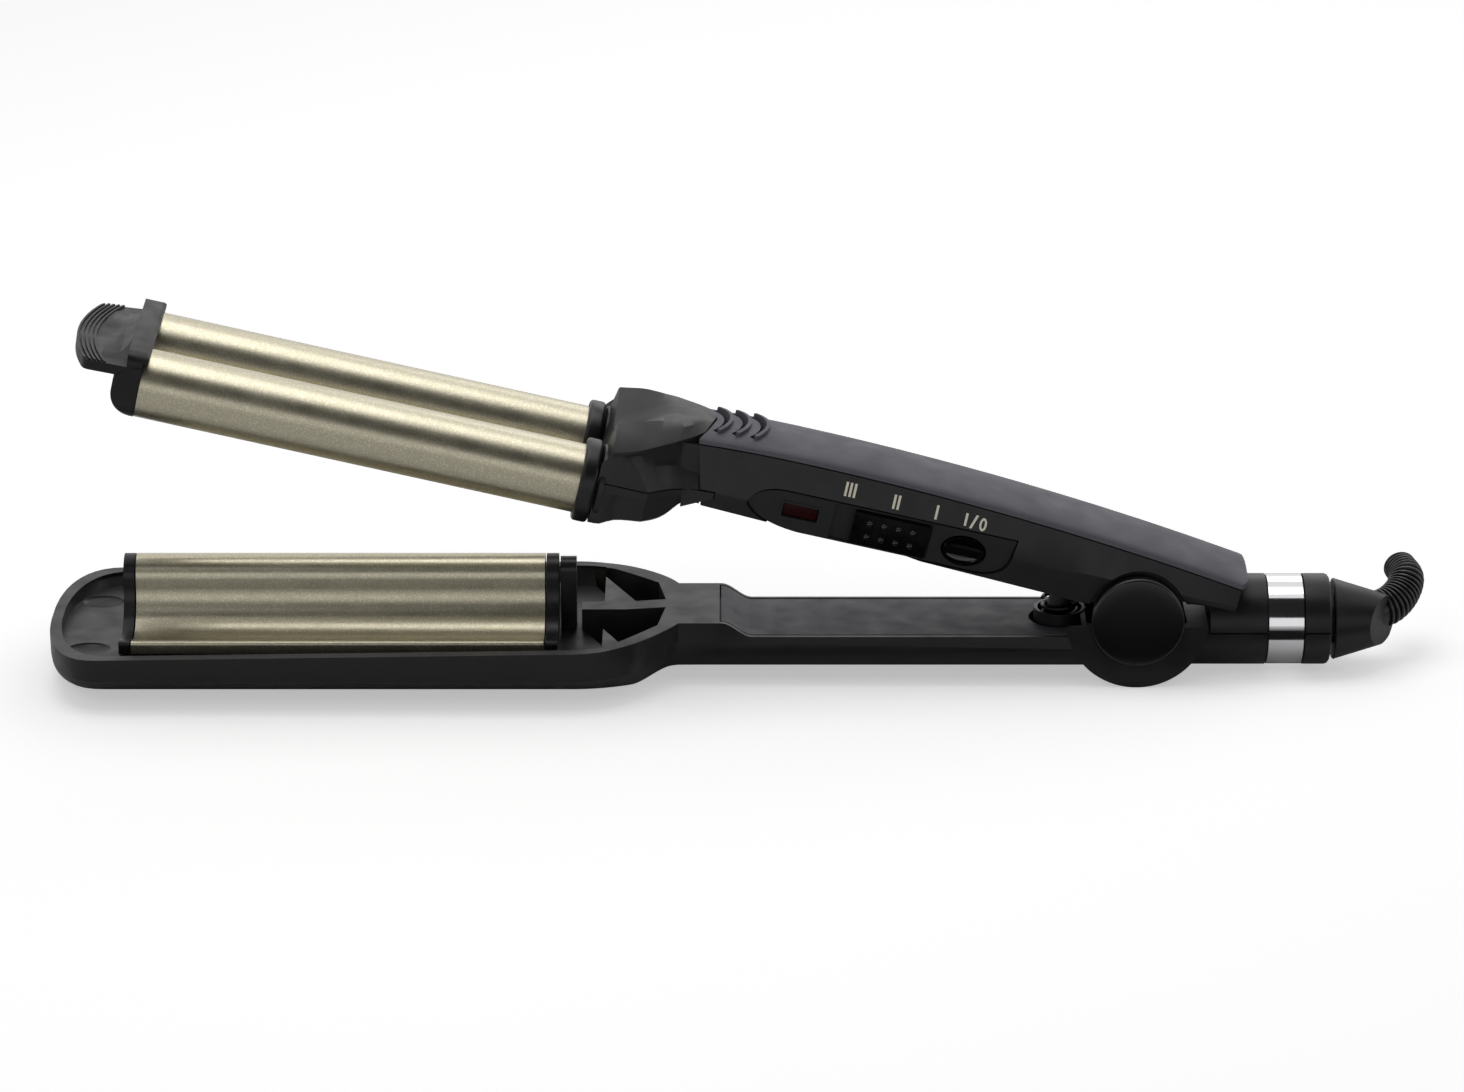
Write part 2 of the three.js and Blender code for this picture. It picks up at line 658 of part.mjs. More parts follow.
/** Turning cone with the flange that holds it in the rear cylinder. */
function swivelCone() {
  const flange = rearEnd - 2.4 - clearance;
  const profile = [[flange - 2.6, 0], [flange - 2.6, swivelBore - 0.5], [flange, swivelBore - 0.5], [flange, swivelMouth],
    [coneStart, swivelMouth], [coneStart, 9.4], [coneStart + 1.2, 8.8], [coneStart + 6, 7.4], [coneEnd, 6.3],
    [coneEnd + 1.4, 5.2], [coneEnd + 2.2, 3], [coneEnd + 2.4, 0]];
  const cone = solid(revolved('x', profile).translate(0, 0, rearAxisHeight));
  return cut(cone, sleeveStretch(0, 0.35, sleeveRadius + clearance, 4));
}

const sleevePath = new THREE.CatmullRomCurve3([
  new THREE.Vector3(coneEnd - 1.4, 1.2, rearAxisHeight + 0.4),
  new THREE.Vector3(coneEnd + 2.8, 4, rearAxisHeight + 1.3),
  new THREE.Vector3(coneEnd + 5.9, 9.2, rearAxisHeight + 2),
  new THREE.Vector3(coneEnd + 6.9, 16, rearAxisHeight + 2.2),
  new THREE.Vector3(coneEnd + 6.9, 26, rearAxisHeight + 2.3),
]);

/** Round section along a stretch of the sleeve's path. */
function sleeveStretch(from, to, radius, count = 1) {
  const points = steps(from, to, Math.max(count, 2)).map((share) => sleevePath.getPointAt(share));
  return solid(wireAlong(new THREE.CatmullRomCurve3(points), radius, 16, count));
}

/** Bend relief of the cord: a rubber sleeve with ribs all round and a bore for the cord. */
function strainRelief() {
  const core = sleeveStretch(0.03, 1, sleeveTipRadius - 0.7, 10);
  const root = sleeveStretch(0.03, 0.24, sleeveRadius, 4);
  const ribs = steps(0.29, 1, ribCount - 1).map((share) => (
    sleeveStretch(share - 0.034, share, mix(sleeveRadius, sleeveTipRadius, share))));
  const end = sleevePath.getPoint(1).addScaledVector(sleevePath.getTangent(1), 1);
  const bore = solid(wireAlong(new THREE.LineCurve3(sleevePath.getPoint(0.7), end), sleeveBore, 16, 1));
  return cut(join(core, root, ...ribs), bore);
}

addPiece(group, 'swivel_cone', swivelCone(), finish.shellBlack);
addPiece(group, 'strain_relief', strainRelief(), finish.rubber);

// ---------------------------------------------------------------- upper arm

/** Height of the crease where the cover meets the side walls: highest over the controls. */
function creaseHeight(reach) {
  const [peakReach, peak] = [86, 20.6];
  const fall = reach > peakReach ? 13.8 : 6.3;
  return peak - fall * ((reach - peakReach) / 100) ** 2;
}

/** Height of the handle's underside. */
const undersideHeight = (reach) => smooth(reach, [[-21.8, 6.8], [-12, 6.3], [10, 1.1], [22, 1.2], [105, 4.2], [110, 4.4]]);

const handleStations = steps(handleReach, handleRear, 16);
const seam = 0.3;
const coverEdge = 1.3;

function coverForm(raise) {
  return loft(handleStations, [
    (reach) => [0, creaseHeight(reach) + 1.5 + raise],
    (reach) => [4.4, creaseHeight(reach) + 1.3 + raise],
    (reach) => [8, creaseHeight(reach) + 0.8 + raise],
    (reach) => [creaseHalfWidth - 0.4, creaseHeight(reach) + raise],
    (reach) => [creaseHalfWidth, creaseHeight(reach) - 0.4],
    (reach) => [creaseHalfWidth + 0.15, creaseHeight(reach) - coverEdge],
    (reach) => [0, creaseHeight(reach) - coverEdge],
  ]);
}

/** Stretch of a ring in plan, between two radii about a point on the centre line. */
function arcStrip(centreX, inner, outer, halfAngle) {
  const strip = new THREE.Shape();
  strip.absarc(centreX, 0, outer, -halfAngle, halfAngle);
  strip.absarc(centreX, 0, inner, halfAngle, -halfAngle, true);
  return strip;
}

/** Top cover of the handle, with three bowed louvres above the electronics. */
function upperHandleCover() {
  const ventRadius = 12.4;
  const ventAngle = 0.62;
  const slots = [];
  const hoods = [];
  for (const start of [103.2, 98.8, 94.4]) {
    const centre = -(start - 2.3) - ventRadius;
    slots.push(pulledAlongZ(arcStrip(centre, ventRadius - 1.3, ventRadius + 1.1, ventAngle), 5, 40, 5));
    hoods.push(pulledAlongZ(arcStrip(centre, ventRadius - 0.7, ventRadius + 0.5, ventAngle + 0.1), 5, 40, 5));
  }
  const hoodForm = coverForm(1);
  const louvres = hoods.map((hood) => hood.intersect(hoodForm));
  const plan = roundedRectangle(-handleReach - 5, -handleRear, -creaseHalfWidth - 1, creaseHalfWidth + 1, 4);
  return join(cut(coverForm(0), ...slots), ...louvres).intersect(pulledAlongZ(plan, 0, 40, 4));
}

/** Frame of the control panel: X along the arm, Y up the panel, Z outwards. */
const panelFrame = new THREE.Group();
panelFrame.position.set(0, -12.25, panelMiddle);
panelFrame.rotation.x = Math.PI / 2 + panelTilt;
panelFrame.updateMatrix();

/** Outline of the panel: a long lens with a pointed nose and a rounded heel. */
function panelOutline(grow) {
  const half = panelHalfHeight + grow;
  const nose = -panelNoseReach - grow;
  const heel = -panelRearReach + grow;
  const outline = new THREE.Shape();
  outline.moveTo(nose + 9, half);
  outline.quadraticCurveTo(nose + 2, half, nose, 0.5);
  outline.quadraticCurveTo(nose + 3, -half + 0.6, nose + 13, -half);
  outline.lineTo(heel - 8, -half);
  outline.quadraticCurveTo(heel - 1.5, -half + 0.4, heel - 0.6, 0);
  outline.lineTo(heel, half);
  return outline;
}

/** Outline of the power button: an oval lens. */
function buttonOutline(grow) {
  const oval = new THREE.Shape();
  oval.absellipse(-buttonReach, -0.3, buttonLength / 2 + grow, buttonHeight / 2 + grow, 0, 2 * Math.PI);
  return oval;
}

const sliderMiddle = -(sliderReach + sliderLength / 2);
const stemHalf = 1.5;

/** Slot for the slider's stem, long enough for its travel. */
function stemSlot() {
  return roundedRectangle(sliderMiddle - stemHalf - sliderTravel - clearance, sliderMiddle + stemHalf + clearance,
    -stemHalf - clearance, stemHalf + clearance, 0.8);
}

/** Window for the pilot lens. */
function lensOutline(grow) {
  return roundedRectangle(-lensReach - lensLength / 2 - grow, -lensReach + lensLength / 2 + grow,
    0.3 - lensHeight / 2 - grow, 0.3 + lensHeight / 2 + grow, 0.4 + grow / 2);
}

/** Shape pulled outwards from the panel plane, in the panel's frame. */
function fromPanel(shape, low, high, curveSegments = 3) {
  const options = { depth: high - low, bevelEnabled: false, curveSegments };
  return new THREE.ExtrudeGeometry(shape, options).translate(0, 0, low);
}

const inArm = (geometry) => solid(geometry.applyMatrix4(panelFrame.matrix));

/** Main shell of the handle: side walls, floor, hinge lugs and the boss that presses the spring. */
function upperShell() {
  const body = loft(handleStations, [
    (reach) => [0, creaseHeight(reach) - coverEdge - seam],
    (reach) => [creaseHalfWidth + 0.25, creaseHeight(reach) - coverEdge - seam],
    () => [flareHalfWidth, flareRise],
    (reach) => [flareHalfWidth - 0.35, flareRise - 1.2],
    (reach) => [chamferHalfWidth, undersideHeight(reach)],
    (reach) => [0, undersideHeight(reach)],
  ]);
  const cavity = loft(steps(handleReach + 2, 14, 8), [
    () => [0, 40],
    () => [handleCavityHalf, 40],
    (reach) => [handleCavityHalf, undersideHeight(reach) + 2.2],
    (reach) => [0, undersideHeight(reach) + 2.2],
  ]);
  const overHinge = block(-14.2, 9.2, -lugInnerHalf, lugInnerHalf, -20, 40);
  const overCylinder = block(9, 30, -rearCavityHalf, rearCavityHalf, -20, 40);
  const notches = sides.map(([, side]) => {
    const ends = [side * (lugOuterHalf + 0.1), side * 30].sort((a, b) => a - b);
    return rod('y', notchRadius, ...ends, [0, 0], 40);
  });
  const lugs = sides.map(([, side]) => {
    const ends = [side * lugInnerHalf, side * lugOuterHalf].sort((a, b) => a - b);
    return rod('y', lugRadius, ...ends);
  });
  const pocket = inArm(fromPanel(panelOutline(clearance), -panelThickness - 0.3, 6, 6));
  const windows = [stemSlot(), lensOutline(0.3)].map((shape) => inArm(fromPanel(shape, -6, 1)));
  windows.push(inArm(fromPanel(buttonOutline(clearance), -6, 1, 14)));
  const boss = join(rod('z', 4.7, -1.5, 3.2, [-postReach, 0], 28), rod('z', 2.6, -5.6, 0, [-postReach, 0], 20));
  const walls = cut(body, cavity, overHinge, overCylinder, ...notches, pocket, ...windows);
  const bore = rod('y', axleRadius + clearance, -20, 20, [0, 0], 24);
  return cut(join(walls, boss, ...lugs), bore);
}

/** Rails of the neck: half widths and heights at a few reaches, joined smoothly. */
const neckStations2 = [handleReach + clearance, 111.2, 112.8, 114.6, 117, 119.5, 122, 124.5, 127, neckReach];
const knots = [109.75, 112, 116, 120, 126, 130];
const railOf = (widths, heights) => (reach) => [
  smooth(reach, knots.map((at, i) => [at, widths[i]])),
  smooth(reach, knots.map((at, i) => [at, heights[i]])),
];

const neckBase = railOf([13.2, 13.7, 15.8, 18.3, 21.1, neckHalfWidth], [0, 0, 0, 0, 0, 0]);

function tailBores() {
  return sides.map(([, side]) => rod('x', 4.8, -131, -121, [side * barrelAxis, barrelRise], 24));
}

/** Upper neck: two humps over the barrels that run together into the handle's crest. */
function neckUpper() {
  const low = neckSplit + seam / 2;
  const form = loft(neckStations2, [
    railOf([0, 0, 0, 0, 0, 0], [22, 21.6, 20, 17.9, 16.2, 15.6]),
    railOf([2.6, 3, 3.6, 4.4, 5, 5], [22, 21.6, 20.4, 18.7, 17.2, 16.6]),
    railOf([5, 6, 8, 10.5, 13, 13.2], [21.8, 21.5, 21.2, 20.5, 19.2, 18.9]),
    railOf([6.4, 8, 11.2, 14.4, 17.6, 18], [21.6, 21.2, 20.6, 19.8, 18, 17.7]),
    railOf([7.5, 9.8, 13.6, 17, 20.3, 20.7], [21.3, 20.7, 19.6, 18.3, 15.6, 15.3]),
    railOf([8.6, 9.7, 12.9, 16.2, 20, 20.9], [18.5, 18.2, 17.6, 16.6, 14.4, 14]),
    railOf([10.6, 10.9, 12.9, 15.8, 20, 21.2], [14, 13.8, 13.4, 12.8, 11.8, 11.6]),
    (reach) => [neckBase(reach)[0], low],
    () => [0, low],
  ]);
  const spigot = block(-handleReach - 1, -handleReach + 4.5, -8.6, 8.6, low, 15);
  return cut(join(form, spigot), ...tailBores());
}

/** Lower neck: two lobes with a valley between them that clears the tray's centre bar. */
function neckLower() {
  const top = neckSplit - seam / 2;
  const bottom = (reach) => smooth(reach, [[109.7, 4.3], [111.1, 3.6], [114.1, -1.4], [117, -2.8], [125.7, -3.3], [130, -4.9]]);
  const valley = (reach) => Math.max(bottom(reach), 0.3);
  const form = loft(neckStations2, [
    () => [0, top],
    (reach) => [neckBase(reach)[0], top],
    (reach) => [neckBase(reach)[0] - 0.2, mix(top, bottom(reach), 0.35)],
    (reach) => [neckBase(reach)[0] * 0.93, mix(top, bottom(reach), 0.75)],
    (reach) => [neckBase(reach)[0] * 0.78, bottom(reach)],
    (reach) => [neckBase(reach)[0] * 0.5, bottom(reach)],
    (reach) => [neckBase(reach)[0] * 0.3, mix(bottom(reach), valley(reach), 0.7)],
    (reach) => [neckBase(reach)[0] * 0.2, valley(reach)],
    (reach) => [0, valley(reach)],
  ]);
  return cut(form, ...tailBores());
}

function barrel(side) {
  const inside = barrelRadius - barrelWall;
  const [front, rear] = [-barrelTipReach, -collarBack - 1];
  const profile = [[front, inside], [front, barrelRadius], [rear, barrelRadius], [rear, inside], [front, inside]];
  return solid(revolved('x', profile, 48).translate(0, side * barrelAxis, barrelRise));
}

/** Insulating collar that carries the end of a barrel. */
function barrelCollar(side) {
  const bore = barrelRadius + clearance;
  const [front, rear] = [-collarFront, -collarBack];
  const profile = [[front, bore], [front, collarRadius - 0.6], [front + 0.6, collarRadius],
    [rear - 0.6, collarRadius], [rear, collarRadius - 0.6], [rear, 4.7], [rear - 0.6, 4.7],
    [rear - 0.6, bore], [front, bore]];
  return solid(revolved('x', profile, 36).translate(0, side * barrelAxis, barrelRise));
}

function barrelSeal(side) {
  const [front, rear] = [-collarBack + 0.3, -neckReach - 0.3];
  const profile = [[front, 4.7], [front, sealRadius - 0.4], [front + 0.4, sealRadius], [rear, sealRadius],
    [rear, 4.7], [front, 4.7]];
  return solid(revolved('x', profile, 36).translate(0, side * barrelAxis, barrelRise));
}

/** Ceramic heater core: a stem held in the neck and a body that fills the barrel. */
function barrelHeater(side) {
  const body = barrelRadius - barrelWall - 1;
  const profile = [[-234, 0], [-234, body], [-140, body], [-138, 4.2], [-121.5, 4.2], [-121.5, 0]];
  return solid(revolved('x', profile, 24).translate(0, side * barrelAxis, barrelRise));
}

const capFront = 240.9;
const capBack = 247;
const fanHalfWidth = 19.8;
const fanLength = 14.6;
const fanStart = 243;

/** Blunt fan in plan, scaled about the middle of the cap. */
function fanOutline(scale) {
  const fan = new THREE.Shape();
  const power = 3;
  const edge = steps(0, Math.PI / 2, 10).map((angle) => {
    const x = fanLength * scale * Math.sin(angle) ** (2 / power);
    return [-fanStart - x, fanHalfWidth * scale * Math.cos(angle) ** (2 / power)];
  });
  fan.moveTo(-fanStart, fanHalfWidth * scale);
  for (const [x, y] of edge.slice(1)) fan.lineTo(x, y);
  for (const [x, y] of edge.slice(0, -1).reverse()) fan.lineTo(x, -y);
  return fan;
}

/** Fan-shaped stretch of the finger rest, tilted down towards the tip. */
function fanLayer(scale, low, high) {
  const layer = new THREE.ExtrudeGeometry(fanOutline(scale), { depth: high - low, bevelEnabled: false });
  layer.translate(fanStart, 0, low).rotateY(THREE.MathUtils.degToRad(-9)).translate(-fanStart, 0, 10.2);
  return solid(layer);
}

/** Tip cap: a bar over both barrel ends and a ribbed finger rest. */
function tipCap() {
  const [low, high] = [barrelRise - barrelRadius, 13.4];
  const sideView = new THREE.Shape();
  sideView.moveTo(-capFront, low);
  sideView.lineTo(-capFront, high - 0.8).lineTo(-capFront - 0.8, high).lineTo(-capBack + 2.6, high);
  sideView.quadraticCurveTo(-capBack + 0.6, high, -capBack - 0.2, high - 3.2);
  sideView.lineTo(-capBack - 0.2, 5.4);
  sideView.absarc(-capBack + 7.4, 4.6, 7.6, Math.PI, 1.4 * Math.PI);
  const bar = pulledAlongY(sideView, -30, 30, 10);
  const endView = roundedRectangle(-barrelAxis - barrelRadius, barrelAxis + barrelRadius, low, high + 10, barrelRadius - 0.5);
  const upper = roundedRectangle(-barrelAxis - barrelRadius, barrelAxis + barrelRadius, low - 10, high, 2);
  const form = bar.intersect(pulledAlongX(endView, -260, -230, 5)).intersect(pulledAlongX(upper, -260, -230, 3));
  const scoop = new THREE.Shape();
  scoop.moveTo(-capBack + 2, high - 0.4);
  scoop.quadraticCurveTo(-capBack - 1.4, 10, -capBack - 6.6, 9.2);
  scoop.lineTo(-capBack - 6.6, 7.6).lineTo(-capBack + 2, 8.4);
  const fillet = pulledAlongY(scoop, -16, 16, 8);
  const ridges = [1, 0.92, 0.84, 0.76].map((scale) => cut(fanLayer(scale, -0.4, 0.45), fanLayer(scale - 0.045, -1, 1)));
  const spigots = sides.map(([, side]) => rod('x', barrelRadius - barrelWall - 0.45, -capFront - 0.5, -capFront + 4, [side * barrelAxis, barrelRise], 32));
  return join(form, fanLayer(1, -2.2, 0), fillet, ...ridges, ...spigots);
}

addPiece(upperArm, 'upper_handle_shell', upperShell(), finish.shellBlack);
addPiece(upperArm, 'upper_handle_cover', upperHandleCover(), finish.coverGrey);
addPiece(upperArm, 'neck_upper', neckUpper(), finish.shellBlack);
addPiece(upperArm, 'neck_lower', neckLower(), finish.shellBlack);
addPiece(upperArm, 'tip_cap', tipCap(), finish.heatBlack);
for (const [place, side] of sides) {
  addPiece(upperArm, `barrel_${place}`, barrel(side), finish.champagne);
  addPiece(upperArm, `barrel_collar_${place}`, barrelCollar(side), finish.heatBlack);
  addPiece(upperArm, `barrel_seal_${place}`, barrelSeal(side), finish.heatBlack);
  addPiece(upperArm, `barrel_heater_${place}`, barrelHeater(side), finish.ceramic);
}

// ---------------------------------------------------------------- controls

/** Panel insert with the slider's track, the lens window and the button's hole. */
function controlPanel() {
  const plate = solid(fromPanel(panelOutline(0), -panelThickness, 0, 6));
  const track = roundedRectangle(-(sliderReach + sliderLength + sliderTravel) - 0.2, -sliderReach + clearance,
    -sliderHeight / 2 - clearance, sliderHeight / 2 + clearance, 0.4);
  return cut(plate, solid(fromPanel(track, -0.8, 3)), solid(fromPanel(stemSlot(), -5, 3)),
    solid(fromPanel(lensOutline(0.3), -5, 3)), solid(fromPanel(buttonOutline(clearance), -5, 3, 14)));
}

/** Slider with its stem and two rows of grip dimples. */
function temperatureSlider() {
  const half = sliderHeight / 2;
  const plan = roundedRectangle(-sliderReach - sliderLength, -sliderReach, -half, half, 0.4);
  const plate = solid(fromPanel(plan, -0.45, 0.9));
  const stem = roundedRectangle(sliderMiddle - stemHalf, sliderMiddle + stemHalf, -stemHalf, stemHalf, 0.4);
  const bumps = [];
  for (const x of steps(-5.1, 5.1, 3)) {
    for (const y of [-1.7, 1.7]) {
      const dome = new THREE.SphereGeometry(0.8, 8, 4).scale(1, 1, 0.5).translate(sliderMiddle + x, y, 0.9);
      bumps.push(solid(dome));
    }
  }
  return join(plate, solid(fromPanel(stem, -3, 0)), ...bumps);
}

/** Power button: a dished oval with a raised bar across it. */
function powerButton() {
  const body = solid(fromPanel(buttonOutline(0), -3.2, 0.25, 14));
  const dish = new THREE.SphereGeometry(1, 20, 8).scale(buttonLength / 2 - 0.4, buttonHeight / 2 - 0.4, 1)
    .translate(-buttonReach, -0.3, 0.25);
  const bar = roundedRectangle(-buttonReach - buttonLength / 2 + 0.3, -buttonReach + buttonLength / 2 - 0.3, -1.2, 0.6, 0.5);
  return join(cut(body, solid(dish)), solid(fromPanel(bar, -2, 1)));
}

upperArm.add(panelFrame);
addPiece(panelFrame, 'control_panel', controlPanel(), finish.shellBlack);
addPiece(panelFrame, 'pilot_lens', solid(fromPanel(lensOutline(0), -1.5, -0.1)), finish.redLens);
addPiece(panelFrame, 'temperature_slider', temperatureSlider(), finish.heatBlack);
addPiece(panelFrame, 'power_button', powerButton(), finish.heatBlack);
addPiece(upperArm, 'slide_switch', block(-72, -52, -8.6, -5.2, 5.5, 10.8), finish.heatBlack);
addPiece(upperArm, 'push_switch', block(-48, -39.4, -7, -3.4, 4.9, 10.4), finish.heatBlack);
addPiece(upperArm, 'circuit_board', block(-98, -34, -3, -1.4, 6.6, 15.2), finish.board);
addPiece(upperArm, 'pilot_lamp', rod('x', 1.6, -87, -79.6, [-7.2, panelMiddle], 16), finish.lampGlass);
addPiece(upperArm, 'thermal_fuse', rod('x', 1.8, -104, -100, [3, 9], 16), finish.steel);

// Origin under the middle of the object, on the table
group.updateMatrixWorld(true);
const bounds = new THREE.Box3().setFromObject(group, true);
group.position.set(-(bounds.min.x + bounds.max.x) / 2, -(bounds.min.y + bounds.max.y) / 2, -bounds.min.z);

export default group;
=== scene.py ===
"""Hair waver: the forms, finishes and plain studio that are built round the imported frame."""

from __future__ import annotations

import json
import logging
import math
from collections.abc import Callable, Sequence
from dataclasses import dataclass, field
from enum import Enum
from typing import Any, ClassVar

import bmesh
import bpy
from bpy.types import Light, Material, Mesh, NodeTree, Object, World
from mathutils import Matrix, Vector

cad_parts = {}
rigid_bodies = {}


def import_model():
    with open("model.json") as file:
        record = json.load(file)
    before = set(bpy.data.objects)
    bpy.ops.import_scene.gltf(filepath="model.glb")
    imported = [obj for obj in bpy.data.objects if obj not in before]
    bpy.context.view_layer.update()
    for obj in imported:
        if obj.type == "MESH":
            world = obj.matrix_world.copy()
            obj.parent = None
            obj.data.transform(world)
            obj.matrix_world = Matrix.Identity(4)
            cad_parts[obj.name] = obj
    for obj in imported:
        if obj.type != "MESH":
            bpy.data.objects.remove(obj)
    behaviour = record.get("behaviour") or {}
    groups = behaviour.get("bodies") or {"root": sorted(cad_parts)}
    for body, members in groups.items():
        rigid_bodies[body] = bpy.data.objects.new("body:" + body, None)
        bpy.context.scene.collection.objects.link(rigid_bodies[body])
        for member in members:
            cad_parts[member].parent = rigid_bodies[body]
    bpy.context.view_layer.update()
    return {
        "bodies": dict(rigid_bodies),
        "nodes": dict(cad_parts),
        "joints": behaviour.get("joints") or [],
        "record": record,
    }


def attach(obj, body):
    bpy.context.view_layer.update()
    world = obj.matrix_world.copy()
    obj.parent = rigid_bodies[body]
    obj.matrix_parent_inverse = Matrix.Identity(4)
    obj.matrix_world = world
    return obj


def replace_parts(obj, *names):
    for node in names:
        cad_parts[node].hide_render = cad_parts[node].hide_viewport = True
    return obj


LOG = logging.getLogger("hair_waver")
MM = 0.001

Pair = tuple[float, float]
Rail = Callable[[float], tuple[float, ...]]


class Slot(Enum):
    """Material slots of the record."""

    CHAMPAGNE = "champagne_metal"
    SHELL = "shell_black"
    COVER = "cover_grey"
    GLOSS = "gloss_black"
    HEAT = "heat_black"
    CHROME = "chrome"
    STEEL = "steel"
    LENS = "red_lens"
    RUBBER = "rubber"
    CERAMIC = "ceramic"
    BOARD = "board"
    LAMP = "lamp_glass"


class Body(Enum):
    """Rigid bodies of the frame."""

    LOWER = "lower_arm"
    UPPER = "upper_arm"
    CORD = "cord_swivel"
    SLIDER = "temperature_slider"
    BUTTON = "power_button"


def linear(value: str) -> tuple[float, float, float, float]:
    """Turns an sRGB hex colour into linear RGBA.

    Args:
        value: Six hex digits.

    Returns:
        The colour for a shader socket.
    """
    shares = [int(value[i:i + 2], 16) / 255 for i in (0, 2, 4)]
    rgb = [s / 12.92 if s <= 0.04045 else ((s + 0.055) / 1.055) ** 2.4 for s in shares]
    return (rgb[0], rgb[1], rgb[2], 1.0)


def add_node(tree: NodeTree, kind: str, settings: dict[Any, Any] | None = None,
             links: dict[Any, Any] | None = None) -> bpy.types.Node:
    """Adds a shader node with its settings and links.

    Args:
        tree: The material's node tree.
        kind: The node's type name.
        settings: Socket or property names (or socket numbers) and their values.
        links: Input sockets and the outputs that feed them.

    Returns:
        The new node.
    """
    node = tree.nodes.new(kind)
    for name, value in (settings or {}).items():
        if isinstance(name, str) and hasattr(node, name):
            setattr(node, name, value)
        else:
            node.inputs[name].default_value = value
    for name, source in (links or {}).items():
        tree.links.new(source, node.inputs[name])
    return node


def empty_tree(owner: Material | World) -> NodeTree:
    """Gives a material or a world an empty node tree."""
    owner.use_nodes = True
    owner.node_tree.nodes.clear()
    return owner.node_tree


def mesh_of(bm: bmesh.types.BMesh, name: str) -> Mesh:
    """Turns a bmesh into a mesh and frees it."""
    mesh = bpy.data.meshes.new(name)
    bm.to_mesh(mesh)
    bm.free()
    return mesh


def linked(name: str, data: Mesh | Light | bpy.types.Camera) -> Object:
    """Makes an object from its data and links it into the scene."""
    item = bpy.data.objects.new(name, data)
    bpy.context.collection.objects.link(item)
    return item


@dataclass(frozen=True)
class Finish:
    """Surface of one moulded, plated or coated part.

    The grain is the size of the mould's texture in millimetres, and the relief is its depth. The
    mottle and the roughness swing are how far the colour and the roughness drift across a part.
    """

    CLOUD: ClassVar[float] = 9.0
    WEAR: ClassVar[float] = 3.0

    name: str
    colour: str
    roughness: float
    slot: Slot
    metallic: float = 0.0
    ior: float = 1.5
    grain: float = 0.4
    relief: float = 0.01
    mottle: float = 0.06
    roughness_swing: float = 0.08
    shine: float = 0.35

    def coordinates(self, tree: NodeTree) -> Any:
        """Returns the object coordinates of a tree."""
        return add_node(tree, "ShaderNodeTexCoord").outputs["Object"]

    def noise(self, tree: NodeTree, size: float, detail: float) -> Any:
        """Adds noise of a real size.

        Args:
            tree: The material's node tree.
            size: Size of a grain in millimetres.
            detail: Octaves of finer noise.

        Returns:
            The noise's grey output.
        """
        return add_node(tree, "ShaderNodeTexNoise", {"Scale": 1 / (size * MM * 2), "Detail": detail},
                        {"Vector": self.coordinates(tree)}).outputs["Fac"]

    def span(self, tree: NodeTree, source: Any, low: float, high: float) -> Any:
        """Maps a grey value from its middle range to new limits."""
        return add_node(tree, "ShaderNodeMapRange",
                        {"From Min": 0.3, "From Max": 0.7, "To Min": low, "To Max": high},
                        {"Value": source}).outputs["Result"]

    def tint(self, tree: NodeTree) -> Any:
        """Base colour with a faint cloudiness."""
        cloud = self.span(tree, self.noise(tree, self.CLOUD, 3.0), 1 - self.mottle, 1 + self.mottle)
        return add_node(tree, "ShaderNodeHueSaturation", {"Color": linear(self.colour)},
                        {"Value": cloud}).outputs["Color"]

    def height(self, tree: NodeTree) -> Any:
        """Height of the surface texture."""
        return self.noise(tree, self.grain, 3.0)

    def material(self) -> Material:
        """Builds the material, or returns it if it exists."""
        existing = bpy.data.materials.get(self.name)
        if existing:
            return existing
        material = bpy.data.materials.new(self.name)
        tree = empty_tree(material)
        bump = add_node(tree, "ShaderNodeBump", {"Strength": 1.0, "Distance": self.relief * MM},
                        {"Height": self.height(tree)})
        rough = self.span(tree, self.noise(tree, self.WEAR, 4.0), self.roughness - self.roughness_swing,
                          self.roughness + self.roughness_swing)
        shader = add_node(tree, "ShaderNodeBsdfPrincipled",
                          {"Metallic": self.metallic, "IOR": self.ior, "Specular IOR Level": self.shine},
                          {"Base Color": self.tint(tree), "Roughness": rough,
                           "Normal": bump.outputs["Normal"]})
        self.adjust(shader)
        add_node(tree, "ShaderNodeOutputMaterial", links={"Surface": shader.outputs["BSDF"]})
        return material

    def adjust(self, shader: bpy.types.Node) -> None:
        """Hook for a finish that needs more of the shader's sockets."""


@dataclass(frozen=True)
class HeatCoating(Finish):
    """Sprayed champagne coating on extruded aluminium, with fine mica flakes."""

    flake: float = 0.22
    flake_colour: str = "efe9d6"

    def tint(self, tree: NodeTree) -> Any:
        """Champagne with brighter and darker flakes."""
        cells = add_node(tree, "ShaderNodeTexVoronoi", {"Scale": 1 / (self.flake * MM)},
                         {"Vector": self.coordinates(tree)})
        grey = add_node(tree, "ShaderNodeSeparateColor", links={"Color": cells.outputs["Color"]})
        share = add_node(tree, "ShaderNodeMapRange",
                         {"From Min": 0.6, "From Max": 1.0, "To Min": 0.0, "To Max": 0.4},
                         {"Value": grey.outputs["Red"]})
        return add_node(tree, "ShaderNodeMix",
                        {"data_type": "RGBA", 6: linear(self.colour), 7: linear(self.flake_colour)},
                        {0: share.outputs["Result"]}).outputs[2]


@dataclass(frozen=True)
class ClearLens(Finish):
    """Tinted polycarbonate, clear enough to show depth."""

    def adjust(self, shader: bpy.types.Node) -> None:
        """Lets part of the light through."""
        shader.inputs["Transmission Weight"].default_value = 0.35


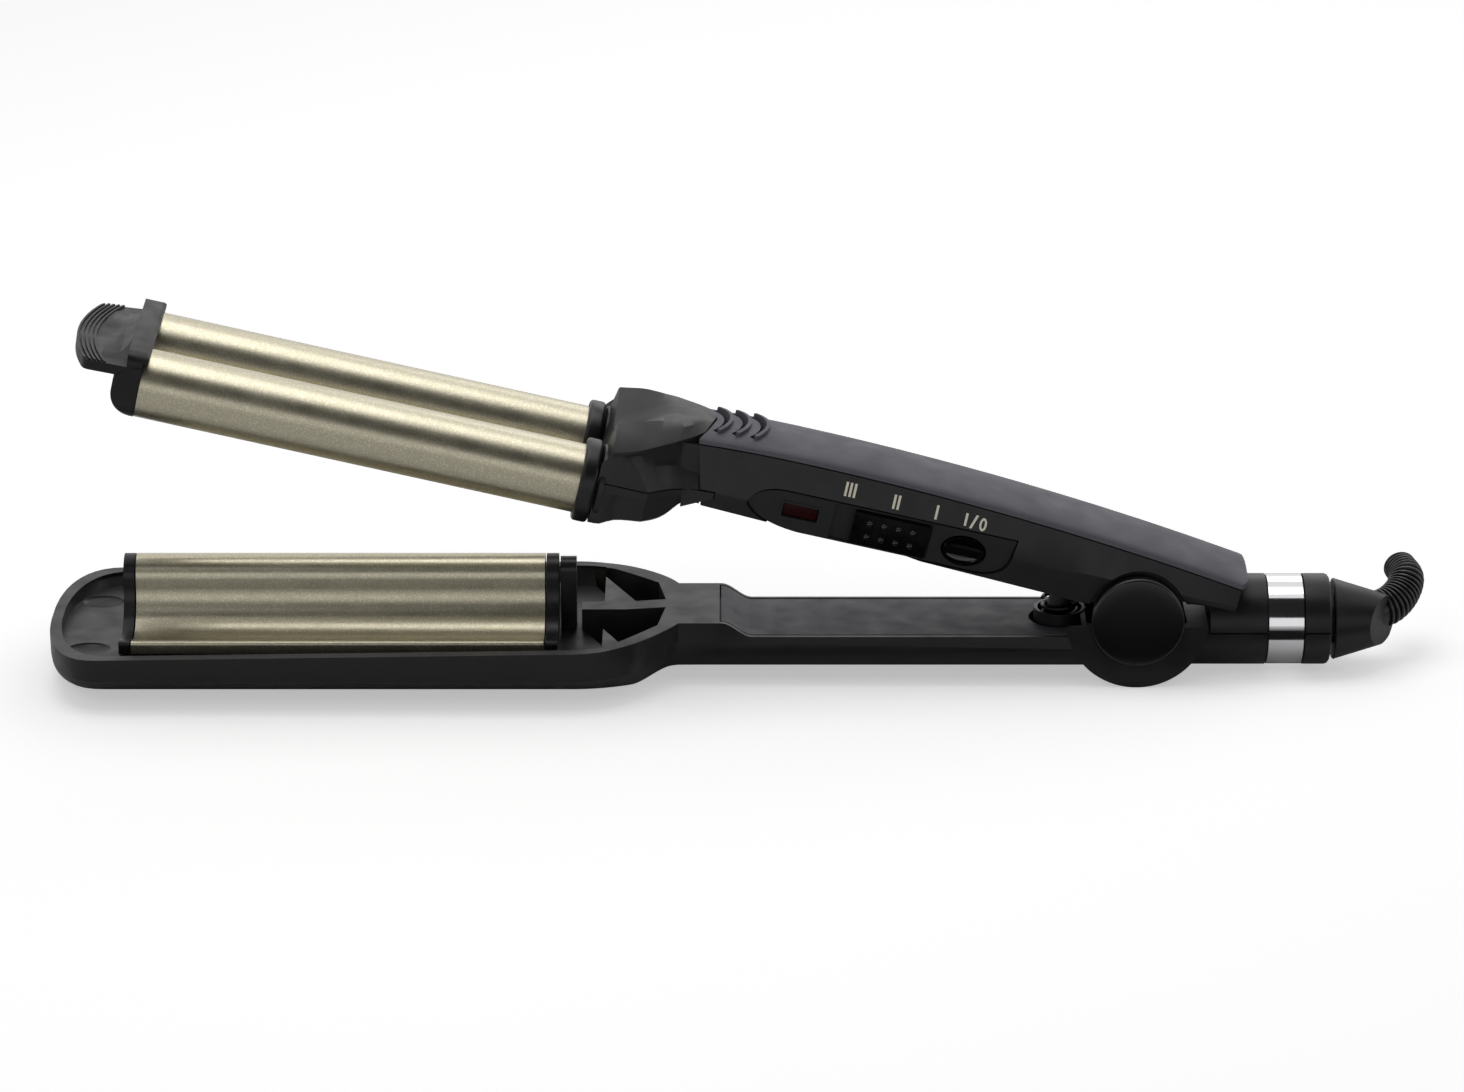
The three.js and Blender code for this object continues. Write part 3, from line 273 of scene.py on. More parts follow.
# Sprayed coating on aluminium: a soft sheen in broad bands with fine mica sparkle.
CHAMPAGNE = HeatCoating("coated_aluminium_champagne", "b3ad98", 0.33, Slot.CHAMPAGNE, metallic=1.0,
                        grain=0.18, relief=0.004, roughness_swing=0.03)
# Moulded ABS: near-black with a fine spark texture that softens its highlights.
SHELL = Finish("moulded_abs_black", "28282a", 0.44, Slot.SHELL, grain=0.22, relief=0.01, shine=0.3)
# The same ABS on the lower arm, with a smoother mould texture; its darker colour is painted shade on the
# lower arm.
SHELL_PAINTED_SHADE = Finish("moulded_abs_black_painted_shade", "1a1a1c", 0.4, Slot.SHELL, grain=0.22, relief=0.008, shine=0.3)
# Soft-touch lacquer on the grip's covers: a greyer, faintly violet, matt top.
COVER = Finish("soft_touch_graphite", "57565d", 0.6, Slot.COVER, grain=0.16, relief=0.012)
# The lower cover's lacquer, darker by painted shade.
COVER_PAINTED_SHADE = Finish("soft_touch_graphite_painted_shade", "46464c", 0.6, Slot.COVER, grain=0.16, relief=0.012)
# Polished ABS on the hinge's discs: the deepest black, with a soft-edged reflection.
GLOSS = Finish("polished_abs_black", "0a090c", 0.3, Slot.GLOSS, relief=0.0, roughness_swing=0.01,
               mottle=0.02, shine=0.5)
# Heat-resistant PBT round the metal: satin black.
HEAT = Finish("heat_resistant_pbt_black", "131315", 0.34, Slot.HEAT, grain=0.2, relief=0.008)
# The same PBT with a coarse grain on the tip's finger rest.
HEAT_CAP = Finish("heat_resistant_pbt_cap", "0f0f12", 0.45, Slot.HEAT, grain=0.35, relief=0.03, shine=0.3)
# Polished PBT on the slider and the button: sharp edge lights against the matt panel.
SLIDER = Finish("polished_pbt_black", "070708", 0.16, Slot.HEAT, grain=0.2, relief=0.001, shine=0.6)
# Plated band: mirror-bright, with the studio in it.
CHROME = Finish("chrome_plated_abs", "dadadc", 0.1, Slot.CHROME, metallic=1.0, relief=0.0002,
                mottle=0.0, roughness_swing=0.02)
# Drawn steel of the axle and the screws: a plain grey glint.
STEEL = Finish("drawn_steel", "8f8f92", 0.35, Slot.STEEL, metallic=1.0, relief=0.003)
# Spring wire in dark grey steel: painted shade for the inside of its cup, so that it stays quiet there.
SPRING_STEEL_PAINTED_SHADE = Finish("spring_steel_painted_shade", "2a2a2c", 0.4, Slot.STEEL, metallic=1.0, relief=0.003)
# Tinted polycarbonate over the lamp: a dark red window.
LENS = ClearLens("tinted_polycarbonate_red", "35090c", 0.1, Slot.LENS, ior=1.58, relief=0.0005,
                 roughness_swing=0.02)
# Flexible PVC of the sleeve: black with a low sheen that picks out the ribs.
RUBBER = Finish("flexible_pvc_black", "121214", 0.36, Slot.RUBBER, grain=0.3, relief=0.004, shine=0.6)
# Unglazed heater ceramic inside the metal.
CERAMIC = Finish("sintered_ceramic", "ddd8c8", 0.8, Slot.CERAMIC, grain=0.3, relief=0.02)
# Solder mask on the circuit board.
BOARD = Finish("solder_mask_green", "1f4a2c", 0.4, Slot.BOARD, grain=0.5, relief=0.004)
# Glass of the neon lamp under the lens.
LAMP = ClearLens("neon_lamp_glass", "d97a4a", 0.1, Slot.LAMP, relief=0.0)
# Pad-printed scale marks: matt cream.
INK = Finish("pad_print_cream", "e6e2cf", 0.5, Slot.COVER, relief=0.0, mottle=0.02)


def mix(low: float, high: float, share: float) -> float:
    """Returns the value a share of the way from one number to another."""
    return low + (high - low) * share


def ease(share: float) -> float:
    """Returns a share with soft ends, held between 0 and 1."""
    held = min(max(share, 0.0), 1.0)
    return held * held * (3 - 2 * held)


def steps(low: float, high: float, count: int) -> list[float]:
    """Returns even steps from one number to another, both ends included."""
    return [mix(low, high, i / count) for i in range(count + 1)]


def along(at: float, *knots: Pair) -> float:
    """Reads straight lines through knots.

    Args:
        at: Where to read.
        knots: Pairs of place and value, in order.

    Returns:
        The value there, held at both ends.
    """
    if at <= knots[0][0]:
        return knots[0][1]
    for (start, low), (end, high) in zip(knots, knots[1:]):
        if at <= end:
            return mix(low, high, (at - start) / (end - start))
    return knots[-1][1]


def smooth(at: float, knots: Sequence[Pair]) -> float:
    """Reads a smooth curve through knots.

    Args:
        at: Where to read.
        knots: Pairs of place and value, in order.

    Returns:
        The value there, held at both ends.
    """
    place = min(max(at, knots[0][0]), knots[-1][0])
    first = next((i for i in range(len(knots) - 1) if place <= knots[i + 1][0]), len(knots) - 2)

    def slope(k: int) -> float:
        """Slope of the curve at a knot."""
        before, after = knots[max(k - 1, 0)], knots[min(k + 1, len(knots) - 1)]
        return (after[1] - before[1]) / (after[0] - before[0])

    (start, low), (end, high) = knots[first], knots[first + 1]
    width = end - start
    t = (place - start) / width
    return (low * (2 * t ** 3 - 3 * t ** 2 + 1) + high * (3 * t ** 2 - 2 * t ** 3)
            + width * (slope(first) * (t ** 3 - 2 * t ** 2 + t) + slope(first + 1) * (t ** 3 - t ** 2)))


@dataclass
class Outline:
    """Flat outline drawn point by point, in millimetres."""

    points: list[Pair] = field(default_factory=list)

    def line(self, *points: Pair) -> Outline:
        """Draws straight lines to points."""
        self.points.extend(points)
        return self

    def curve(self, bend: Pair, end: Pair, count: int = 8) -> Outline:
        """Draws a curve to a point, pulled towards a bend."""
        start = self.points[-1]
        for t in steps(0, 1, count)[1:]:
            self.points.append(tuple((1 - t) ** 2 * a + 2 * t * (1 - t) * b + t * t * c
                                     for a, b, c in zip(start, bend, end)))
        return self

    def arc(self, centre: Pair, radius: float | Pair, start: float, end: float,
            count: int = 12) -> Outline:
        """Draws part of a circle or an ellipse, between two angles."""
        wide, high = radius if isinstance(radius, tuple) else (radius, radius)
        self.points.extend((centre[0] + wide * math.cos(a), centre[1] + high * math.sin(a))
                           for a in steps(start, end, count))
        return self

    @staticmethod
    def rectangle(x0: float, x1: float, y0: float, y1: float, radius: float,
                  count: int = 5) -> Outline:
        """Draws a rectangle with rounded corners."""
        quarter = math.pi / 2
        corners = [((x1 - radius, y0 + radius), -quarter), ((x1 - radius, y1 - radius), 0.0),
                   ((x0 + radius, y1 - radius), quarter), ((x0 + radius, y0 + radius), 2 * quarter)]
        drawn = Outline()
        for centre, angle in corners:
            drawn.arc(centre, radius, angle, angle + quarter, count)
        return drawn


@dataclass
class Solid:
    """Closed body in millimetres, cut and joined with others."""

    mesh: Mesh

    @staticmethod
    def of(bm: bmesh.types.BMesh) -> Solid:
        """Closes a bmesh into a solid with its faces outwards, and frees it."""
        bmesh.ops.remove_doubles(bm, verts=bm.verts, dist=1e-4)
        bmesh.ops.recalc_face_normals(bm, faces=bm.faces)
        return Solid(mesh_of(bm, "solid"))

    @staticmethod
    def pulled(axis: str, outline: Outline, low: float, high: float) -> Solid:
        """Pulls an outline along an axis.

        Args:
            axis: X takes an outline in (y, z), Y one in (x, z) and Z one in (x, y).
            outline: The outline.
            low: Start along the axis.
            high: End along the axis.

        Returns:
            The solid.
        """
        bm = bmesh.new()
        place = {"X": lambda a, b: (low, a, b), "Y": lambda a, b: (a, low, b),
                 "Z": lambda a, b: (a, b, low)}[axis]
        kept: list[Pair] = []
        for point in outline.points:
            if not kept or math.dist(point, kept[-1]) > 1e-3:
                kept.append(point)
        if math.dist(kept[0], kept[-1]) <= 1e-3:
            kept.pop()
        verts = [bm.verts.new(place(*point)) for point in kept]
        face = bm.faces.new(verts)
        raised = bmesh.ops.extrude_face_region(bm, geom=[face], use_keep_orig=True)["geom"]
        travel = Vector([high - low if name == axis else 0.0 for name in "XYZ"])
        bmesh.ops.translate(bm, vec=travel, verts=[v for v in raised if isinstance(v, bmesh.types.BMVert)])
        return Solid.of(bm)

    @staticmethod
    def block(x0: float, x1: float, y0: float, y1: float, z0: float, z1: float) -> Solid:
        """Box between two corners."""
        return Solid.pulled("Z", Outline([(x0, y0), (x1, y0), (x1, y1), (x0, y1)]), z0, z1)

    @staticmethod
    def lathed(axis: str, profile: Sequence[Pair], at: Pair = (0, 0), facets: int = 96) -> Solid:
        """Spins a profile about an axis.

        Args:
            axis: X, Y or Z.
            profile: Pairs of distance along the axis and radius; both ends on the axis, or
                the last point on the first.
            at: Where the axis lies in the other two directions.
            facets: Facets round the axis.

        Returns:
            The solid.
        """
        turn = {"X": lambda a, r: (a, r, 0), "Y": lambda a, r: (r, a, 0), "Z": lambda a, r: (r, 0, a)}
        bm = bmesh.new()
        verts = [bm.verts.new(turn[axis](*point)) for point in profile]
        edges = [bm.edges.new(pair) for pair in zip(verts, verts[1:])]
        spindle = [1.0 if name == axis else 0.0 for name in "XYZ"]
        bmesh.ops.spin(bm, geom=verts + edges, axis=spindle, cent=(0, 0, 0), dvec=(0, 0, 0),
                       angle=2 * math.pi, steps=facets, use_merge=True, use_duplicate=False)
        offset = {"X": (0, *at), "Y": (at[0], 0, at[1]), "Z": (*at, 0)}[axis]
        bmesh.ops.translate(bm, vec=offset, verts=bm.verts)
        return Solid.of(bm)

    @staticmethod
    def rod(axis: str, radius: float, low: float, high: float, at: Pair = (0, 0),
            facets: int = 64) -> Solid:
        """Round bar along an axis."""
        return Solid.lathed(axis, [(low, 0), (low, radius), (high, radius), (high, 0)], at, facets)

    @staticmethod
    def ball(centre: Sequence[float], radii: Sequence[float], facets: int = 48) -> Solid:
        """Ellipsoid with its own radius in each direction."""
        bm = bmesh.new()
        place = Matrix.Translation(centre) @ Matrix.Diagonal((*radii, 1))
        bmesh.ops.create_uvsphere(bm, u_segments=facets, v_segments=facets // 2, radius=1, matrix=place)
        return Solid.of(bm)

    @staticmethod
    def loft(reaches: Sequence[float], rails: Sequence[Rail]) -> Solid:
        """Draws a ring out through stations along the arm.

        Args:
            reaches: Stations, as distances from the hinge.
            rails: Each gives half width, height and, if it likes, a reach of its own, from the
                top centre down to the bottom centre; the other side mirrors them.

        Returns:
            The solid.
        """
        bm = bmesh.new()
        ring: list[bmesh.types.BMVert] = []
        for number, reach in enumerate(reaches):
            half = [rail(reach) for rail in rails]
            points = half + [(-p[0], *p[1:]) for p in reversed(half) if p[0] > 1e-6]
            places = [Vector((-(p[2] if len(p) > 2 else reach), p[0], p[1])) for p in points]
            if number == 0:
                ring = [bm.verts.new(place) for place in places]
                for pair in zip(ring, ring[1:] + ring[:1]):
                    bm.edges.new(pair)
                edges = list(bm.edges)
                bm.faces.new(ring)
                continue
            drawn = bmesh.ops.extrude_edge_only(bm, edges=edges)["geom"]
            fresh = {v.co.to_tuple(5): v for v in drawn if isinstance(v, bmesh.types.BMVert)}
            ring = [fresh[v.co.to_tuple(5)] for v in ring]
            edges = [e for e in drawn if isinstance(e, bmesh.types.BMEdge)]
            for vert, place in zip(ring, places):
                vert.co = place
        bm.faces.new(ring)
        return Solid.of(bm)

    def moved(self, matrix: Matrix) -> Solid:
        """Moves the solid by a matrix."""
        self.mesh.transform(matrix)
        return self

    def combined(self, operation: str, *others: Solid) -> Solid:
        """Joins, cuts or intersects with other solids, one after the other.

        Args:
            operation: UNION, DIFFERENCE or INTERSECT.
            others: The other solids.

        Returns:
            The new solid.
        """
        result = self.mesh
        for other in others:
            tool, body = linked("tool", other.mesh), linked("body", result)
            change = body.modifiers.new("combine", "BOOLEAN")
            change.operation, change.object, change.solver = operation, tool, "MANIFOLD"
            graph = bpy.context.evaluated_depsgraph_get()
            result = bpy.data.meshes.new_from_object(body.evaluated_get(graph))
            for item in (tool, body):
                bpy.data.objects.remove(item)
        return Solid(result)

    def join(self, *others: Solid) -> Solid:
        """Joins other solids on."""
        return self.combined("UNION", *others)

    def cut(self, *others: Solid) -> Solid:
        """Cuts other solids away."""
        return self.combined("DIFFERENCE", *others)

    def within(self, *others: Solid) -> Solid:
        """Keeps what lies in each of the others."""
        return self.combined("INTERSECT", *others)


@dataclass
class Workshop:
    """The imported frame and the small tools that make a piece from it."""

    frame: dict[str, Any]
    made: int = 0
    BEND: ClassVar[float] = 32.0
    SMALLEST: ClassVar[float] = 0.004

    def base(self, body: Body) -> Matrix:
        """Matrix that puts a form on its arm: the lower one as it lies, the upper one open."""
        joints = self.frame["record"]["behaviour"]["joints"]
        hinge = next(joint for joint in joints if joint["name"] == "arm_hinge")
        place = Vector(hinge["pos_m"])
        if body in (Body.LOWER, Body.CORD):
            return Matrix.Translation((place.x, 0, 0))
        return Matrix.Translation(place) @ Matrix.Rotation(math.radians(hinge["range_deg"][1]), 4, "Y")

    def finish_piece(self, bm: bmesh.types.BMesh, name: str, finish: Finish, body: Body,
                     angle: float = 35.0) -> Object:
        """Turns a bmesh into a dressed piece that rides on a body.

        Args:
            bm: The finished form, freed here.
            name: Name of the piece.
            finish: Its surface.
            body: The body that carries it.
            angle: Edges sharper than this many degrees stay crisp.

        Returns:
            The new object.
        """
        mesh = mesh_of(bm, name)
        mesh.shade_smooth()
        mesh.set_sharp_from_angle(angle=math.radians(angle))
        piece = linked(name, mesh)
        mesh.materials.append(finish.material())
        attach(piece, body.value)
        self.made += 1
        LOG.info("piece %s: %d faces on %s", name, len(mesh.polygons), body.value)
        return piece

    def softened(self, node: str, finish: Finish, body: Body, width: float) -> None:
        """Replaces a CAD node by its own form with rounded edges.

        Args:
            node: The CAD node.
            finish: Its surface.
            body: The body that carries it.
            width: Width of the rounding in millimetres.
        """
        bm = bmesh.new()
        bm.from_mesh(self.frame["nodes"][node].data)
        bmesh.ops.remove_doubles(bm, verts=bm.verts, dist=0.5e-6)
        bmesh.ops.dissolve_limit(bm, angle_limit=math.radians(0.5), verts=bm.verts, edges=bm.edges)
        piece = self.finish_piece(bm, f"{node}_skin", finish, body, self.BEND)
        bevel = piece.modifiers.new("edge_rounding", "BEVEL")
        bevel.width, bevel.segments = width * MM, 3
        bevel.limit_method, bevel.angle_limit = "ANGLE", math.radians(self.BEND)
        bevel.harden_normals = True
        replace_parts(piece, node)

    def dress(self, node: str, finish: Finish) -> None:
        """Gives a CAD node its finish and leaves its shape alone."""
        data = self.frame["nodes"][node].data
        data.materials.clear()
        data.materials.append(finish.material())

    def placed(self, solid: Solid, name: str, finish: Finish, body: Body, angle: float = 30.0) -> Object:
        """Puts a solid, drawn in millimetres from the hinge, in its place at rest.

        Args:
            solid: The solid, in its arm's own frame.
            name: Name of the piece.
            finish: Its surface.
            body: The body that carries it.
            angle: Edges sharper than this many degrees stay crisp.

        Returns:
            The new object.
        """
        bm = bmesh.new()
        bm.from_mesh(solid.mesh)
        bpy.data.meshes.remove(solid.mesh)
        bmesh.ops.remove_doubles(bm, verts=bm.verts, dist=self.SMALLEST)
        bmesh.ops.dissolve_degenerate(bm, edges=bm.edges, dist=self.SMALLEST)
        bmesh.ops.dissolve_limit(bm, angle_limit=math.radians(0.6), verts=bm.verts, edges=bm.edges)
        bmesh.ops.triangulate(bm, faces=[face for face in bm.faces if len(face.verts) > 4])
        bmesh.ops.transform(bm, matrix=self.base(body) @ Matrix.Scale(MM, 4), verts=bm.verts)
        return self.finish_piece(bm, name, finish, body, angle)

    def shaped(self, solid: Solid, node: str, finish: Finish, body: Body, angle: float = 30.0) -> None:
        """Stands a solid in for a CAD node."""
        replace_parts(self.placed(solid, f"{node}_skin", finish, body, angle), node)


@dataclass(frozen=True)
class Sizes:
    """Sizes that the arms share, in millimetres, measured from the hinge."""

    gap: float = 0.35
    seam: float = 0.3
    barrel_radius: float = 8.0
    barrel_axis: float = 13.7
    barrel_rise: float = 4.9
    barrel_tip: float = 236.35
    barrel_pin: float = 4.7
    neck_front: float = 128.0
    joint: float = 106.3
    joint_lean: float = math.radians(13.9)
    crease_half: float = 11.3
    flare_half: float = 13.5
    flare_rise: float = 8.4
    handle_rear: float = -23.1
    post_reach: float = 17.0
    hinge_height: float = 16.5
    axle_bore: float = 2.75
    knuckle_notch: float = 11.8
    knuckle_half: float = 10.95
    cord_axis: float = 11.95
    cord_radius: float = 10.64
    cord_start: float = 17.2
    cord_end: float = 45.5
    groove: Pair = (30.5, 39.4)
    groove_radius: float = 9.24

    def crease(self, reach: float) -> float:
        """Height of the crease where the cover meets the side walls."""
        crown = 85
        fall = 13.8 if reach > crown else 6.3
        return 20.6 - fall * ((reach - crown) / 100) ** 2

    def underside(self, reach: float) -> float:
        """Height of the handle's underside."""
        return smooth(reach, [(self.handle_rear, 6.8), (-12, 6.3), (10, 1.1), (22, 1.2),
                              (self.joint - 3, 4.1), (self.joint + 2, 4.3)])

    def wall(self, height: float) -> float:
        """Half width of the handle's side wall at a height."""
        return self.flare_half - 1.95 * (height - self.flare_rise) / 10.2

    def beyond_joint(self, gap: float) -> Solid:
        """Everything on the tip side of the slanted joint, set off from it by a gap."""
        lean = Matrix.Rotation(-self.joint_lean, 4, "Y")
        space = Solid.block(-200 - gap, -gap, -40, 40, -60, 60)
        return space.moved(Matrix.Translation((-self.joint, 0, self.flare_rise)) @ lean)

    def cord_cylinder(self, start: float) -> Solid:
        """Rear cylinder from a place behind the hinge, with the groove for the band."""
        radius, end, floor = self.cord_radius, self.cord_end, self.groove_radius
        front, back = self.groove
        profile = [(start, 0), (start, radius), (front, radius), (front, floor), (back, floor),
                   (back, radius), (end - 1, radius), (end - 0.4, radius - 0.2), (end, radius - 0.7),
                   (end, 0)]
        return Solid.lathed("X", profile, (0, self.cord_axis), 200)

    def leaf(self, grow: float) -> Outline:
        """Leaf in plan, in which the neck's crest runs out on the cover."""
        half, root = 11.6 + grow, -self.joint
        shoulder, bend, tip = root - 3.0, root - 0.4, root + 0.9 + grow
        leaf = Outline([(root - 12, half), (shoulder, half)]).curve((bend, half * 0.66), (tip, 0), 16)
        return leaf.curve((bend, -half * 0.66), (shoulder, -half), 16).line((root - 12, -half))

    def tongue(self, side: int, grow: float) -> Solid:
        """Tongue of the lower neck that laps the handle's side wall."""
        root = -self.joint
        outline = Outline([(root - 3.4 - grow, 3.4 - grow), (root + 3.5 + grow, 7 - grow),
                           (root + 3.5 + grow, 8.2 + grow), (root - 3.9 - grow, 8 + grow)])
        ends = sorted((side * (12.2 - grow), side * (self.flare_half + 0.4 + 4 * grow)))
        return Solid.pulled("Y", outline, *ends)


@dataclass
class Assembly:
    """Group of pieces that is built together."""

    shop: Workshop
    size: Sizes


@dataclass
class Neck(Assembly):
    """Two humps over the barrels that run together into a leaf on the handle.

    Its rails are read at shares of the way from the joint to the front face.
    """

    corner: float = 0.7
    seam_corner: float = 0.54
    foot: float = 1.087
    joint_gap: float = 0.175
    stations: list[float] = field(default_factory=lambda: steps(-0.12, 0.06, 6) + steps(0.09, 0.69, 24)
                                  + [0.7, 0.735, 0.77, 0.81, 0.85, 0.89, 0.93, 0.965, 1.0])
    knots: tuple[float, ...] = (-0.04, 0.07, 0.18, 0.28, 0.37, 0.46, 0.59, 0.75, 0.93, 1)
    crest_widths: tuple[float, ...] = (7.2, 9, 10.6, 12.6, 14.8, 16.4, 18.3, 19.8, 20.6, 20.8)
    crest_heights: tuple[float, ...] = (21.2, 20.7, 19.6, 19.1, 18.7, 18.3, 17.5, 16.3, 15.3, 15)
    lip_fade: tuple[float, ...] = (0, 0.6, 1, 1, 1, 1, 0.9, 0.6, 0.15, 0)
    split_line: tuple[Pair, ...] = ((0.07, 13.7), (0.18, 14.2), (0.28, 15.2), (0.37, 16.8), (0.46, 18.6),
                                    (0.54, 20.3), (1, 21.8))
    facet_line: tuple[Pair, ...] = ((0.07, 10.9), (0.18, 11), (0.28, 11.5), (0.37, 12.4), (0.46, 14.1),
                                    (0.59, 17.9), (0.7, 20.6), (1, 21.2))

    def build(self) -> None:
        """Builds both halves of the neck."""
        self.shop.shaped(self.upper(), "neck_upper", SHELL, Body.UPPER)
        self.shop.shaped(self.lower(), "neck_lower", SHELL, Body.UPPER)

    def reach(self, share: float) -> float:
        """Reach of a share of the way from the joint to the front face."""
        return mix(self.size.joint, self.size.neck_front, share)

    def own(self, share: float, corner: float, front: float = 1.0) -> float:
        """Share moved so that a station bends into the crease and along the slanted front."""
        first = self.stations[0]
        return along(share, (first, first), (self.corner, corner), (1, front))

    def bent(self, point: Callable[[float], Pair], corner: float, front: float) -> Rail:
        """Rail that gives half width and height at its own bent shares."""
        def place(share: float) -> tuple[float, ...]:
            """Point of the rail at a share."""
            at = self.own(share, corner, front)
            return (*point(at), self.reach(at))
        return place

    def rail(self, widths: Sequence[float], heights: Sequence[float], corner: float = 0.7,
             front: float = 1.0) -> Rail:
        """Smooth rail through half widths and heights at the knots."""
        wide, high = list(zip(self.knots, widths)), list(zip(self.knots, heights))
        return self.bent(lambda at: (smooth(at, wide), smooth(at, high)), corner, front)

    def under_crest(self, inset: float, drop: float) -> Rail:
        """Crest rail moved in under its own lip; the undercut fades out at the front."""
        return self.rail([w - inset * f for w, f in zip(self.crest_widths, self.lip_fade)],
                         [h - drop for h in self.crest_heights], 0.78)

    def split(self, share: float) -> float:
        """Height at which the two halves meet."""
        return along(share, (0, 8.2), (0.18, 7.8), (0.56, 7.1), (1, 7.6))

    def upper(self) -> Solid:
        """Upper half: valley, humps, crest, scoop and front facet."""
        size, low = self.size, self.size.seam / 2

        def edge(at: float) -> Pair:
            """Half width and height of the seam."""
            return along(at, *self.split_line), self.split(at) + low

        form = Solid.loft(self.stations, [
            self.rail([0] * 10, [22.1, 22.5, 22.3, 22.1, 21.9, 21.2, 18.9, 16.7, 14.8, 14.2]),
            self.rail([1.5, 2, 3, 3.8, 4.4, 4.8, 5, 5, 5, 5],
                      [22, 22.3, 22.2, 22, 21.85, 21.6, 20.3, 18.2, 16.2, 15.7]),
            self.rail([3, 4, 5.5, 7, 8.2, 9.2, 10.5, 12, 13, 13.4],
                      [21.9, 22.3, 22.1, 21.9, 21.8, 21.7, 21.5, 21, 20, 19.6]),
            self.rail([3.9, 5.1, 7.6, 9.7, 11.4, 12.9, 14.6, 16.4, 17.6, 18],
                      [21.8, 22.1, 21.7, 21.3, 21, 20.6, 20, 19.2, 18.2, 17.8]),
            self.rail(self.crest_widths, self.crest_heights, 0.75),
            self.under_crest(0.1, 0.6),
            self.under_crest(0.9, 1),
            self.rail([8, 8.4, 10, 11.6, 13.5, 15.2, 17.2, 19, 20.5, 20.9],
                      [16, 16, 16, 15.9, 15.7, 15.5, 15.2, 14.8, 14.2, 13.9], 0.838, 1.02),
            self.bent(lambda at: (along(at, *self.facet_line), 12.2), self.corner, self.foot),
            self.bent(edge, self.seam_corner, self.foot),
            lambda s: (0, self.split(s) + low, self.reach(self.own(s, self.seam_corner, self.foot))),
        ])
        leaf = Solid.pulled("Z", size.leaf(0), 18.4, 40)
        spigot = Solid.block(-size.joint - 7, -size.joint + 4, -11.4, 11.4, 7.4, 18)
        form = form.within(size.beyond_joint(self.joint_gap).join(leaf)).join(spigot)
        return form.cut(*self.bores())

    def bores(self) -> list[Solid]:
        """Bores for the barrels' tails."""
        size = self.size
        radius, start, end = size.barrel_pin + 0.1, -size.neck_front - 5, -size.neck_front + 7
        return [Solid.rod("X", radius, start, end, (side * size.barrel_axis, size.barrel_rise))
                for side in (-1, 1)]

    def lower(self) -> Solid:
        """Lower half: two lobes with a valley that clears the tray's centre bar."""
        lobes = [(0.02, 4.2), (0.15, 3.6), (0.285, 0.3), (0.416, -1.1), (0.806, -2.1), (0.972, -3.8)]

        def bottom(at: float) -> float:
            """Height of the lobes' undersides."""
            return smooth(at, lobes)

        def top(at: float) -> float:
            """Height of the upper face."""
            return self.split(at) - self.size.seam / 2

        def flange(at: float) -> float:
            """Height under the flange that follows the seam."""
            return max(top(at) - 1.9, mix(top(at), bottom(at), 0.3))

        def inset(at: float) -> float:
            """Depth of the wall behind the flange."""
            return along(at, (0.1, 0), (0.2, 0.6), (0.9, 0.6), (0.93, 0))

        def width(at: float) -> float:
            """Half width at the seam."""
            return along(at, *self.split_line)

        def valley(at: float) -> float:
            """Height of the valley between the lobes."""
            return max(bottom(at), 0.3)

        points = [
            lambda s: (0, top(s)), lambda s: (width(s), top(s)), lambda s: (width(s), flange(s)),
            lambda s: (width(s) - inset(s), flange(s) - 0.1),
            lambda s: (width(s) * 0.985 - inset(s), mix(top(s), bottom(s), 0.62)),
            lambda s: (width(s) * 0.93, mix(top(s), bottom(s), 0.86)),
            lambda s: (width(s) * 0.8, bottom(s)), lambda s: (width(s) * 0.5, bottom(s)),
            lambda s: (width(s) * 0.3, mix(bottom(s), valley(s), 0.7)),
            lambda s: (width(s) * 0.2, valley(s)), lambda s: (0, valley(s)),
        ]
        form = Solid.loft(self.stations, [self.bent(point, self.seam_corner, self.foot) for point in points])
        form = form.within(self.size.beyond_joint(self.joint_gap))
        return form.join(*(self.size.tongue(side, 0) for side in (-1, 1))).cut(*self.bores())


